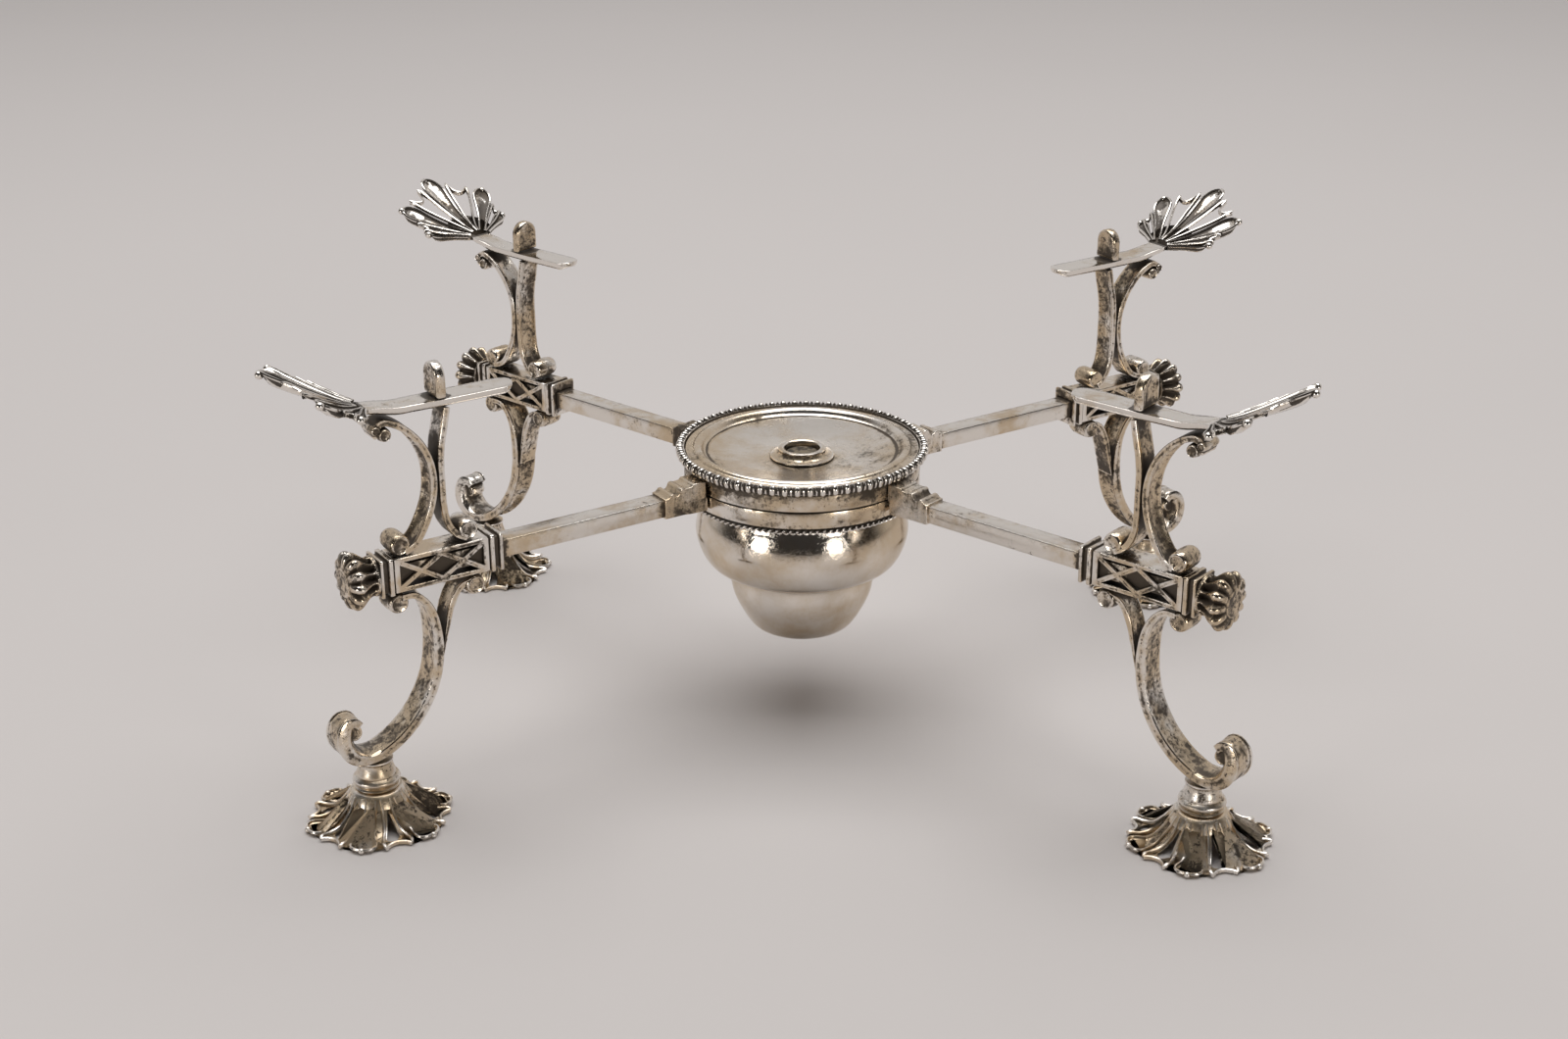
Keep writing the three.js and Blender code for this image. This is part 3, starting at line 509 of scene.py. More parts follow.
def silver(name, look, warm, dark, depth, polish, grain, patch_scale):
    """Old silver: bright on its rubbed edges, yellow-brown in patches, dark with tarnish and painted shade in
    its recesses and between parts.
    """
    f = Finish(name)
    place = f.node("TexCoord", output="Object")
    hollow = f.node("Attribute", {"attribute_name": "hollow"}, output="Fac")
    worn = f.node("Attribute", {"attribute_name": "worn"}, output="Fac")
    patches = f.noise(place, patch_scale, 5, 0.6)
    blotches = f.noise(place, patch_scale * 4.5, 5, 0.7)
    specks = f.noise(place, 1500.0, 3, 0.7)
    pits = f.noise(place, 850.0, 5, 0.75).rise(0.5, 0.6)
    lean, stretch = (0.3, 0.5, 0.4), (240, 2600, 900)
    stretched = f.node("Mapping", {}, {"Vector": place, "Rotation": lean, "Scale": stretch})
    scratches = f.noise(stretched, 1.0, 2, 0.5)
    clouds = f.noise(place, patch_scale * 0.7, 3, 0.6)
    thin = (clouds * 1.5 + blotches * 0.5 + hollow * 0.5 + (warm - 1.5) - worn * 0.3).rise(0.0, 0.42)
    # Dark stain: real tarnish patches, blotches and pits, plus painted shade where the hollow attribute finds
    # recesses or neighbouring parts close by; depth weighs that painted shade.
    stain_and_shade = hollow * depth + patches * 1.3 + blotches * 0.9 + pits * (0.12 + 0.4 * grain)
    # thick lays the dark colour where this stain is strong, so it paints both tarnish and shade.
    thick = (stain_and_shade + (dark - 1.75) - worn * 0.7).rise(0.1, 0.42)
    colour = f.blend((*look.bright, 1), (*look.warm, 1), thin * 0.75)
    colour = f.blend(colour, (*look.dark, 1), thick * 0.94)
    rough = thin * 0.06 + thick * 0.34 + scratches * 0.08 + (polish - 0.04)
    height = specks * 0.35 + scratches * 0.5 + blotches * (0.8 * grain) - thick * 0.6 - pits * 0.3
    bump = f.node("Bump", {}, {"Height": height, "Strength": 0.15 + 0.25 * grain, "Distance": 0.00012})
    return f.close({"Base Color": colour, "Metallic": 1.0 - thick * 0.4, "Roughness": rough, "Normal": bump})


def cotton(name, look):
    """Browned, charred cotton of the wick."""
    f = Finish(name)
    place = f.node("TexCoord", output="Object")
    strands = f.noise(place, 900.0, 3, 0.6)
    char = f.noise(place, 350.0, 4, 0.6)
    colour = f.blend((*look.wick, 1), (0.03, 0.025, 0.02, 1), char.rise(0.42, 0.6))
    colour = f.blend(colour, (0.42, 0.35, 0.25, 1), strands.rise(0.58, 0.75) * 0.6)
    bump = f.node("Bump", {}, {"Height": strands, "Strength": 0.6, "Distance": 0.0004})
    return f.close({"Base Color": colour, "Roughness": 0.9, "Normal": bump})


# Each silver's warm tarnish, dark tarnish, darkening of recesses (tarnish and painted shade), polish, grain
# and scale of patches
SILVERS = {
    "bar_silver": (0.72, 0.64, 1.2, 0.17, 0.2, 80.0),
    "block_silver": (0.90, 0.99, 1.2, 0.18, 0.0, 60.0),
    "ring_silver": (0.86, 0.91, 1.2, 0.14, 0.05, 70.0),
    "cast_silver": (0.84, 0.86, 1.4, 0.11, 0.3, 100.0),
    "foot_silver": (0.76, 0.66, 0.3, 0.28, 0.5, 120.0),
    "rest_silver": (0.54, 0.52, 5.0, 0.12, 0.1, 100.0),
    "bowl_silver": (0.80, 0.24, 0.6, 0.09, 0.04, 28.0),
    "cover_silver": (0.72, 0.68, 0.6, 0.2, 0.04, 36.0),
    # Strong recess darkening here paints shade into the gaps between beads and between the rope's strands.
    "border_silver": (0.50, 0.42, 5.0, 0.12, 0.05, 75.0),
    "wick_tube_silver": (0.76, 0.66, 1.1, 0.17, 0.15, 75.0),
}


def finish_named(name):
    """The finish of that name, made on its first use."""
    if name in bpy.data.materials:
        return bpy.data.materials[name]
    look = bpy.context.scene.dish_cross_silver
    return silver(name, look, *SILVERS[name]) if name in SILVERS else cotton(name, look)


# Pieces of a bracket

def bar_shape(bm):
    """A bar of rectangular section with worn edges."""
    sizes = bpy.context.scene.dish_cross_cross
    length = BAR_END - BLOCK_END + 0.2
    slab(bm, (BAR_END - length / 2, 0, BAR_Z), (length, sizes.bar_width / MM, sizes.bar_height / MM),
         sizes.edge_radius / MM, 2)
    slice_along(bm, X)


def block_shape(bm, upper):
    """A root block with a moulding across its top, set back a little from the ring that turns past it."""
    start = RING_OUTER + GAP
    length = BLOCK_END - start
    low, high = (0.5, 0) if upper else (0, 0.5)
    top = [
        (1, 2.8), (0.93, 2.85), (0.89, 3.3), (0.86, 3.75), (0.8, 3.75), (0.77, 3.3), (0.74, 3.0),
        (0.7, 3.0), (0.66, 3.5), (0.63, 4.4), (0.6, 4.75), (0.55, 4.75), (0.52, 4.55), (0.4, 4.6),
        (0.36, 4.8), (0.33, 5.3),
    ]
    below = [(0.3, -3.1), (0.42, -3.0), (0.55, -2.8), (1, -2.8)]
    outline = [(start + low, BAR_Z - 3.1)]
    outline += [(start + share * length, BAR_Z + up) for share, up in below + top]
    outline += [(start + high, RING_TOP - 0.1), (start + high, SEAM + GAP / 2), (start + low, SEAM - GAP / 2)]
    face = bm.faces.new([bm.verts.new((x, -BLOCK_HALF_WIDTH, z)) for x, z in outline])
    side = bmesh.ops.extrude_face_region(bm, geom=[face])["geom"]
    for v in side:
        if isinstance(v, bmesh.types.BMVert):
            v.co.y = BLOCK_HALF_WIDTH
    bmesh.ops.recalc_face_normals(bm, faces=bm.faces)
    soften(bm, bm.edges, 0.16)
    slice_along(bm, X, 1.2)


def rosette_shape(bm):
    """A short trumpet of twelve ribs that flare over deep flutes and close in again round a flat disc."""
    start = BAR_END + GAP
    profile = outline_curve([
        (0, 0), (4.9, 0), (5.2, 0.25), (5.15, 0.7), (5.05, 1.4), (5.5, 2.4), (6.3, 3.4), (7.1, 4.4),
        (7.6, 5.3), (7.65, 6.0), (7.3, 6.8), (6.6, 7.4), (5.6, 7.8), (4.6, 8.0), (4.0, 7.95), (3.7, 8.05),
        (3.3, 8.15), (0, 8.1),
    ], 60)
    tall = profile.index(max(profile))
    steps = 192

    def place(column, row):
        radius, height = profile[row]
        angle = 2 * math.pi * (column % steps) / steps
        crest = abs(math.cos(6 * angle))
        if row <= tall:
            valley = 1 - crest ** mix(2.6, 1.0, ease(height, 3.5, 5.8))
            radius -= valley * mix(2.1, 1.5, ease(height, 3.0, 5.8)) * ease(height, 0.5, 1.4)
        else:
            radius -= (1 - crest) * 1.5 * ease(radius, 3.8, 7.3)
            height -= (1 - crest) ** 1.5 * 0.6 * ease(radius, 3.5, 4.8) * (1 - ease(radius, 6.4, 7.6))
        return Vector((start + height, radius * math.cos(angle), BAR_Z + radius * math.sin(angle)))

    lay(bm, steps, len(profile) - 1, place)


def box_loop(half_width, half_height, radius, steps=4):
    """Corners of a rectangle with rounded corners, round the x axis."""
    loop = []
    for k, (sy, sz) in enumerate(((1, 1), (-1, 1), (-1, -1), (1, -1))):
        for j in range(steps + 1):
            angle = math.radians(90 * k + 90 * j / steps)
            loop.append((sy * (half_width - radius) + radius * math.cos(angle),
                         sz * (half_height - radius) + radius * math.sin(angle)))
    return loop


def sleeve_shape(bm):
    """The tube of a bracket: two plates, two sides pierced with crosses, and a moulding at each end."""
    low, high = SLEEVE_MID - SLEEVE_HALF, SLEEVE_MID + SLEEVE_HALF
    half_w, half_h, wall, band, border, strip = 4.0, 4.6, 0.7, 4.2, 1.2, 1.3
    length = high - low - 2 * band + 0.6
    for z in (SLEEVE_TOP - wall / 2, SLEEVE_BASE + wall / 2):
        slab(bm, (SLEEVE_MID, 0, z), (length, 2 * half_w - 0.1, wall), 0.15)
    a, b = (SLEEVE_HALF - band - border) / 2, half_h - border
    slope = math.atan2(b, a)
    dx, dz = strip / 2 / math.sin(slope), strip / 2 / math.cos(slope)
    openings = [
        [(-dx - a, 0), (-2 * a, b - dz), (-2 * a, dz - b)],
        [(a + dx, 0), (2 * a, dz - b), (2 * a, b - dz)],
        [(dx - a, 0), (0, dz - b), (a - dx, 0), (0, b - dz)],
    ]
    for middle in (-a, a):
        openings.append([(middle, dz), (middle + a - dx, b), (middle - a + dx, b)])
        openings.append([(middle, -dz), (middle - a + dx, -b), (middle + a - dx, -b)])
    end, top = length / 2, half_h - 0.05
    loops = [[(-end, -top), (end, -top), (end, top), (-end, top)], *openings]
    for side in (-1, 1):
        edges = []
        for loop in loops:
            corners = [bm.verts.new((SLEEVE_MID + x, side * (half_w - wall), BAR_Z + z)) for x, z in loop]
            edges += [bm.edges.new((corners[k - 1], corners[k])) for k in range(len(corners))]
        flat = bmesh.ops.triangle_fill(bm, use_beauty=True, edges=edges, normal=(0, side, 0))["geom"]
        faces = [f for f in flat if isinstance(f, bmesh.types.BMFace)]
        made = bmesh.ops.extrude_face_region(bm, geom=faces)["geom"]
        corners = [v for v in made if isinstance(v, bmesh.types.BMVert)]
        bmesh.ops.translate(bm, verts=corners, vec=(0, side * wall, 0))
        rim = {e for v in corners for e in v.link_edges if e.is_manifold and e.calc_face_angle(0) > 1}
        soften(bm, rim, 0.1, 1)
    slice_along(bm, X, 2.2)
    moulding = [
        (0.0, -1), (0.0, 0.05), (0.12, 0.36), (0.3, 0.46), (0.75, 0.46), (0.95, 0.3), (1.05, -0.15),
        (1.2, -0.38), (2.1, -0.4), (2.25, -0.2), (2.35, 0.25), (2.55, 0.43), (3.0, 0.46), (3.4, 0.4),
        (3.55, 0.2), (3.62, -0.15), (3.75, -0.3), (4.05, -0.3), (4.2, -0.4), (4.2, -1),
    ]
    for start, step in ((low, 1), (high, -1)):
        rings = []
        for x, offset in moulding:
            inner = offset == -1
            loop = box_loop(3.3, 2.7, 0.3) if inner else box_loop(half_w + offset, half_h + offset, 0.5)
            rings.append([Vector((start + step * x, y, BAR_Z + z)) for y, z in loop])
        lay(bm, len(rings), len(rings[0]), lambda i, j: rings[i % len(rings)][j % len(rings[0])])


def strap_ring(width, thickness, hollow, groove, dome=0.0):
    """Section of a strap: a face grooved between two edges, on side hollow = 1 or -1, and a domed back."""
    deep = 1 - 1.5 * groove
    corner = -0.8 * (1 - dome)
    back = [(x, dome * x * x - 1) for x in (-0.93, -0.7, -0.35, 0, 0.35, 0.7, 0.93)]
    face = [(1, 0), (1, 0.84), (0.94, 1), (0.84, 1), (0.76, 0.86), (0.6, mix(1, deep, 0.62)),
            (0.32, mix(1, deep, 0.92)), (0, deep)]
    ring = [(-1, corner), *back, (1, corner), *face, *((-x, y) for x, y in reversed(face[:-1]))]
    return [(x * width / 2, y * thickness / 2 * hollow) for x, y in ring]


def roll(bm, x, z, radius, width):
    """The rolled end of a scroll: a barrel with a shallow dish in each end."""
    half = width / 2
    profile = [(0, 0.94), (0.35, 0.94), (0.55, 0.95), (0.66, 0.985), (0.75, 1.0), (0.86, 0.95), (0.95, 0.78),
               (0.99, 0.5), (1, 0.2), (1, 0)]
    whole = [(r * radius, y * half) for r, y in profile]
    whole += [(r, -y) for r, y in reversed(whole[:-1])]
    spun(bm, whole, 28, (x, 0, z), "Y")


def placed(points, back, reach, base, height):
    """Places of (across, up) points: shares of a scroll's reach from its back, and of its height."""
    return [(back + across * reach, 0, base + up * height) for across, up in points]


def upper_path(points, back, reach, count):
    """A smooth path of an upper scroll, which is as tall as the way from the sleeve to the dish rest."""
    base, height = SCROLL_BASE + STRAP_THICKNESS / 2, SCROLL_HEIGHT - STRAP_THICKNESS
    return curve(placed(points, SLEEVE_MID + back, reach, base, height), count)


def foot_width(share):
    """Width of a scroll that spreads into its roll."""
    return mix(STRAP_WIDTH, ROLL_WIDTH, 1 - ease(share, 0, 0.12))


def outer_scroll_shape(bm):
    """The scroll from the outer end of the sleeve up under the palmette, with a roll at each end."""
    groove = bpy.context.scene.dish_cross_castings.groove_depth
    path = upper_path([
        (0.641, 0), (0.407, 0.04), (0.2, 0.17), (0.055, 0.32), (0, 0.47), (0.034, 0.62), (0.166, 0.765),
        (0.379, 0.885), (0.621, 0.965), (0.855, 1), (1, 0.955), (0.972, 0.9),
    ], 0.3, 14.5, 72)

    def ring_at(share):
        return strap_ring(foot_width(share), mix(STRAP_THICKNESS, 1.5, ease(share, 0.8, 1)), -1, groove)

    sweep(bm, path, lambda ahead: Y, ring_at)
    roll(bm, SLEEVE_MID + 10.7, SCROLL_BASE + ROLL_R, ROLL_R, ROLL_WIDTH)
    top = SCROLL_BASE + STRAP_THICKNESS / 2 + 0.91 * (SCROLL_HEIGHT - STRAP_THICKNESS)
    roll(bm, SLEEVE_MID + 12.5, top, 1.8, STRAP_WIDTH + 0.8)
    roll(bm, SLEEVE_MID + 14.8, top + 1.5, 1.25, STRAP_WIDTH + 0.6)


def inner_scroll_shape(bm):
    """The scroll from the inner end of the sleeve up to the dish rest, back to back with the outer one."""
    groove = bpy.context.scene.dish_cross_castings.groove_depth
    path = upper_path([
        (0.902, 0), (0.475, 0.045), (0.131, 0.15), (0.008, 0.3), (0, 0.47), (0.008, 0.62), (0.082, 0.75),
        (0.246, 0.88), (0.41, 1.02),
    ], -1.8, -6.1, 54)

    def ring_at(share):
        return strap_ring(foot_width(share), STRAP_THICKNESS, 1, 0.7 * groove)

    sweep(bm, path, lambda ahead: Y, ring_at)
    roll(bm, SLEEVE_MID - 7.9, SCROLL_BASE + ROLL_R, ROLL_R, ROLL_WIDTH)


def lower_path(points, back, reach, count):
    """A smooth path of a leg or an under scroll, which is as tall as the way from the knop to the sleeve."""
    half = LEG_THICKNESS / 2
    return curve(placed(points, SLEEVE_MID + back, reach, LEG_BASE + half, LEG_HEIGHT - half), count)


def leg_shape(bm):
    """The leg: a broad grooved strap that turns up past the foot, where it swells and curls into a knob."""
    groove = bpy.context.scene.dish_cross_castings.groove_depth
    path = lower_path([
        (0.312, 0.969), (0.193, 0.963), (0.091, 0.901), (0.025, 0.803), (0, 0.681), (0.002, 0.563),
        (0.035, 0.434), (0.112, 0.305), (0.242, 0.178), (0.411, 0.077), (0.586, 0.016), (0.726, 0.004),
        (0.84, 0.03), (0.915, 0.085), (0.942, 0.16), (0.91, 0.226), (0.85, 0.24), (0.805, 0.215),
    ], 2.3, 28.5, 130)

    def ring_at(share):
        width = mix(mix(ROLL_WIDTH, LEG_WIDTH, ease(share, 0, 0.2)), 8.7, ease(share, 0.7, 0.84))
        width -= 2.6 * ease(share, 0.86, 1.0)
        grown = mix(STRAP_THICKNESS, LEG_THICKNESS, ease(share, 0.06, 0.3))
        thickness = mix(grown, 4.9, ease(share, 0.74, 0.88)) - 1.8 * ease(share, 0.93, 1.0)
        flat = mix(1, 0.1, ease(share, 0.68, 0.82))
        return strap_ring(width, thickness, -1, groove * flat, 0.62 * ease(share, 0.68, 0.86))

    sweep(bm, path, lambda ahead: Y, ring_at)
    roll(bm, SLEEVE_MID + 12.2, SLEEVE_BASE - GAP - ROLL_R, ROLL_R, ROLL_WIDTH)
    roll(bm, SLEEVE_MID + 26.3, LEG_BASE + 8.9, 2.2, 5.0)


def under_scroll_shape(bm):
    """The short second branch at the top of a leg."""
    groove = bpy.context.scene.dish_cross_castings.groove_depth
    path = lower_path([
        (0.891, 0.969), (0.522, 0.927), (0.25, 0.821), (0.12, 0.716), (0.02, 0.63), (-0.09, 0.54),
    ], 0.25, -9.2, 40)

    def ring_at(share):
        thickness = mix(STRAP_THICKNESS, 0.7, ease(share, 0.3, 1))
        return strap_ring(foot_width(share) - 0.2, thickness, 1, 0.6 * groove)

    sweep(bm, path, lambda ahead: Y, ring_at)
    roll(bm, SLEEVE_MID - 8.95, SLEEVE_BASE - GAP - ROLL_R, ROLL_R, ROLL_WIDTH)


def rest_top(x):
    """Height of the top face of the dish rest."""
    tip = REST_TIP + REST_HALF_WIDTH
    if x < tip:
        return REST_TOP + 0.015 * (tip - x) ** 2
    u = max(0.0, (x - REST_NECK) / PALMETTE_LENGTH)
    rise = PALMETTE_RISE * (0.35 * u + 1.3 * u ** 2 - 0.65 * u ** 3)
    return REST_TOP + ease(x, REST_NECK - 9, REST_NECK) + rise


def on_palmette(share, degrees, lift=0.0):
    """A place on the palmette: share of its length and degrees from its middle line."""
    angle = math.radians(degrees)
    x = REST_NECK + PALMETTE_LENGTH * share * math.cos(angle)
    return Vector((x, PALMETTE_SPREAD * share * math.sin(angle), rest_top(x) + lift))


def on_foot(share, degrees, lift=0.0):
    """A place on the foot's trumpet, never under the ground: share of its radius and degrees from the bar."""
    radius = FOOT_R * share
    flat = FOOT_R * 0.73 - 0.1
    slope = min(1.0, max(0.0, (radius - FOOT_NECK) / (flat - FOOT_NECK)))
    angle = math.radians(degrees)
    z = (FOOT_RISE - FOOT_PLATE) * (1 - slope) ** 1.8 + FOOT_PLATE + lift
    return Vector((FOOT_AXIS + radius * math.cos(angle), radius * math.sin(angle), max(z, 0.02)))


# Half width of a petal, as a share of its broadest, by share of its length
SPOON = [
    (0, 0.36), (0.25, 0.4), (0.45, 0.5), (0.62, 0.74), (0.76, 0.97), (0.84, 1.0), (0.91, 0.88),
    (0.96, 0.64), (0.99, 0.34), (1, 0),
]


def petal(bm, place, degrees, start, reach, half, hollow, rim, thick=0.9):
    """A spoon-shaped petal with a sunk bowl and a wire-like rim, from start to reach on place's surface."""
    def at(u, v, lift):
        along = mix(start, reach, u)
        width = half * between(SPOON, u) * v
        return place(math.hypot(along, width), degrees + math.degrees(math.atan2(width, along)), lift)

    steps = [math.sin(math.pi / 2 * k / 18) for k in range(19)]
    section = [(-1, 0), (-0.7, -0.45), (-0.35, -0.85), (0, -1), (0.35, -0.85), (0.7, -0.45), (1, 0)]

    def corner(i, j):
        u = steps[i]
        bowl = hollow * mix(0.35, 1, ease(u, 0.3, 0.8)) * (1 - ease(u, 0.9, 1.0))
        j %= 10
        if j < 7:
            v, deep = section[j]
            return at(u, v, bowl * deep)
        v, deep = ((0.85, 1), (0, 1.6), (-0.85, 1))[j - 7]
        return at(u, v, -bowl * deep - thick * (1 - 0.6 * ease(u, 0.85, 1)))

    lay(bm, 18, 10, corner, cap=True)
    along = (0, 0.2, 0.4, 0.55, 0.68, 0.78, 0.86, 0.93, 0.975)
    edge = [(u, 1) for u in along] + [(1, 0)] + [(u, -1) for u in reversed(along)]
    path = curve([at(u, v, 0.08) for u, v in edge], 48)
    sweep(bm, path, flat_side, lambda share: round_ring(rim, 1.15 * rim, 6))


def rib(bm, place, points, radius, tip):
    """A tapered rib through (share, degrees) points, that swells by tip at its end."""
    path = curve([place(share, degrees, 0.12) for share, degrees in points], 22)

    def ring_at(share):
        size = radius * mix(0.6, 1, ease(share, 0, 0.5)) * mix(1, tip, ease(share, 0.75, 0.95))
        size *= math.sqrt(max(0.08, 1 - ease(share, 0.94, 1)))
        return round_ring(size, 1.25 * size)

    sweep(bm, path, flat_side, ring_at)


def scallop(bm, place, points, radius, height):
    """The thin concave bar that joins the tips of two ribs."""
    path = curve([place(share, degrees, -0.3) for share, degrees in points], 14)
    sweep(bm, path, flat_side, lambda share: round_ring(radius, height))


def tip_bead(bm, at, radius):
    made = bmesh.ops.create_icosphere(bm, subdivisions=2, radius=radius)["verts"]
    bmesh.ops.translate(bm, verts=made, vec=at)


def rest_shape(bm):
    """The dish rest: a plate with a rounded tip, and a palmette of five petals, ribs and scallops."""
    sizes = bpy.context.scene.dish_cross_castings
    rim, bar, bead = sizes.rim_radius / MM, sizes.rib_radius / MM, sizes.tip_bead_radius / MM
    end = REST_NECK + 1.5
    steps = 64
    section = [
        (-1, -0.06), (-0.93, 0), (-0.5, -0.03), (0, -0.04), (0.5, -0.03), (0.93, 0), (1, -0.06), (1, -0.45),
        (0.86, -0.85), (0.7, -1), (-0.7, -1), (-0.86, -0.85), (-1, -0.45),
    ]

    def plate(i, j):
        x = REST_TIP + 0.05 + (end - REST_TIP) * (i / steps) ** 1.6
        body = mix(REST_HALF_WIDTH, NECK_HALF_WIDTH, ease(x, SLEEVE_MID - 8, REST_NECK))
        rounded = math.sqrt(max(0.0, REST_HALF_WIDTH ** 2 - max(0.0, REST_TIP + REST_HALF_WIDTH - x) ** 2))
        across, down = section[j % len(section)]
        thickness = mix(2.2, 1.4, ease(x, REST_NECK - 6, REST_NECK + 4))
        thickness *= mix(0.55, 1, ease(x, REST_TIP, REST_TIP + 3))
        return Vector((x, across * min(body, rounded), rest_top(x) + down * thickness))

    lay(bm, steps, len(section), plate, cap=True)

    def web(i, j):
        share, degrees = mix(0.0, 0.42, i / 8), mix(-64, 64, (j if j <= 24 else 48 - j) / 24)
        share *= 1 - 0.4 * (abs(degrees) / 64) ** 3
        return on_palmette(max(share, 0.02), degrees, -0.25 if j <= 24 else -1.2)

    lay(bm, 8, 48, web, cap=True)
    ribs = [
        [(0.13, 11), (0.25, 9.6), (0.4, 10.4), (0.6, 11.4), (0.78, 11.6), (0.885, 12.6)],
        [(0.13, 20), (0.25, 20.5), (0.4, 24.2), (0.6, 27.3), (0.76, 27.8), (0.85, 26.8)],
        [(0.13, 47), (0.22, 46.5), (0.35, 47.5), (0.5, 48.2), (0.62, 48.6), (0.69, 49.6)],
        [(0.13, 56), (0.25, 57.2), (0.4, 58.3), (0.53, 58), (0.62, 56.6)],
    ]
    outer_bar = [(0.875, 12.4), (0.79, 14.8), (0.75, 19.6), (0.785, 24.6), (0.84, 27)]
    inner_bar = [(0.68, 49.5), (0.6, 51.2), (0.575, 53.4), (0.58, 55.4), (0.62, 56.8)]
    petal(bm, on_palmette, 0, 0.13, 0.975, 0.108, 1.0, rim)
    tip_bead(bm, on_palmette(0.984, 0, -0.78), bead)
    for hand in (1, -1):
        petal(bm, on_palmette, hand * 39.2, 0.13, 0.865, 0.09, 0.95, rim)
        tip_bead(bm, on_palmette(0.875, hand * 39.2, -0.5), bead)
        petal(bm, on_palmette, hand * 60.5, 0.14, 0.565, 0.05, 0.5, 0.9 * rim)
        tip_bead(bm, on_palmette(0.584, hand * 60.7, -0.4), bead)
        for points in ribs:
            rib(bm, on_palmette, [(share, hand * degrees) for share, degrees in points], bar, 1.3)
        for points, height in ((outer_bar, 0.75), (inner_bar, 0.7)):
            scallop(bm, on_palmette, [(share, hand * degrees) for share, degrees in points], 0.4, height)


def stop_shape(bm):
    """The upright tab: rounded top, worn rim and slightly dished faces."""
    half, height, base = 3.7, 8.6, REST_TOP + 0.3
    middle = Vector((SLEEVE_MID - 2.85, 0, base + 0.55 * height))
    turn = base + height - half
    rises = [mix(base, turn, k / 4) for k in range(5)]
    arc = [math.pi * k / 20 for k in range(1, 20)]
    outline = [(-half, base)] + [(half, z) for z in rises]
    outline += [(half * math.cos(angle), turn + half * math.sin(angle)) for angle in arc]
    outline += [(-half, z) for z in reversed(rises[1:])]
    face = [(1.1, 0), (1.12, 0.4), (1.22, 0.66), (1.38, 0.8), (1.38, 0.88), (1.15, 0.96), (0.7, 1)]
    layers = [(-x, share) for x, share in face] + face[::-1]
    count = len(outline)

    def place(i, j):
        y, z = outline[i % count]
        x, share = layers[j]
        at = middle + Vector((x, y * share, (z - middle.z) * share))
        return Vector((at.x, at.y, max(at.z, base)))

    lay(bm, count, len(layers) - 1, place)


def knop_shape(bm):
    """The turned collars between a leg and its foot."""
    base = FOOT_RISE + GAP
    profile = [
        (0, 0), (5.2, 0), (5.75, 0.15), (5.85, 0.5), (5.6, 0.85), (5.25, 1.05), (5.3, 1.25), (5.8, 1.45),
        (6.1, 1.9), (6.12, 2.3), (5.9, 2.8), (5.3, 3.2), (5.05, 3.45), (5.1, 3.7), (5.0, 4.1), (4.7, 5.0),
        (4.42, 5.9), (4.3, 6.6), (4.4, 7.1), (4.65, 7.45), (4.6, 7.75), (4.4, 7.8), (0, 7.8),
    ]
    spun(bm, profile, 64, (FOOT_AXIS, 0, base))


def shell_shape(bm):
    """The flared foot: a pierced shell under six spoon petals, with two ribs and a scallop in each gap."""
    sizes = bpy.context.scene.dish_cross_castings
    rim, bar, bead = sizes.rim_radius / MM, sizes.rib_radius / MM, sizes.tip_bead_radius / MM
    collar = [
        (0, 7.6), (6.2, 7.6), (7.1, 7.2), (7.9, 6.3), (8.2, 6.3), (7.9, 7.2), (7.1, 8.5), (6.5, 9.3),
        (6.2, 9.5), (0, 9.5),
    ]
    spun(bm, collar, 72, (FOOT_AXIS, 0, 0))
    # How many degrees the gap between two petals is open to each side, by share of the radius
    window = [
        (0.34, 0.0), (0.42, 0.6), (0.52, 4.2), (0.62, 7.2), (0.70, 8.6), (0.74, 7.0), (0.77, 0.2),
        (0.81, 1.0), (0.83, 6.0), (0.86, 11.0), (0.93, 14.0),
    ]
    side = [(0.345, 10), (0.45, 8), (0.6, 10), (0.75, 12.2), (0.86, 12.2), (0.935, 10.5)]
    dip = [(0.92, -10.5), (0.85, -6.5), (0.815, 0), (0.85, 6.5), (0.92, 10.5)]
    for k in range(6):
        centre = FOOT_TURN + 60 * k
        gap = centre + 30

        def shell(i, j):
            share = mix(0.34, 0.9, i / 14)
            spread = 30 - between(window, share)
            degrees = mix(-spread, spread, (j if j <= 10 else 20 - j) / 10)
            return on_foot(share, centre + degrees, -0.3 if j <= 10 else -1.0)

        lay(bm, 14, 20, shell, cap=True)
        petal(bm, on_foot, centre, 0.345, 0.965, 0.172, 0.75, rim, 0.8)
        tip_bead(bm, on_foot(0.96, centre, -0.2), 0.75 * bead)
        for hand in (1, -1):
            rib(bm, on_foot, [(share, gap - hand * degrees) for share, degrees in side], 1.15 * bar, 1.2)
        scallop(bm, on_foot, [(share, gap + degrees) for share, degrees in dip], 0.42, 0.62)


# Rings and lamp

def ring_profile(inner, outer, low, high, worn=0.25):
    """Section of a band with two worn outer edges."""
    corner = 0.3 * worn
    return [
        (inner, low), (outer - worn, low), (outer - corner, low + corner), (outer, low + worn),
        (outer, high - worn), (outer - corner, high - corner), (outer - worn, high), (inner, high),
        (inner, low),
    ]


def upper_ring_shape(bm):
    spun(bm, ring_profile(RING_INNER, RING_OUTER, SEAM + GAP / 2, RING_TOP), 128)


def lower_ring_shape(bm):
    spun(bm, ring_profile(RING_INNER, RING_OUTER, RING_BASE, SEAM - GAP / 2), 128)


def ring_sleeve_shape(bm):
    outer = RING_INNER - GAP
    spun(bm, ring_profile(outer - 0.6, outer, ROPE_Z - STRAND_R, RING_TOP, 0.1), 96)


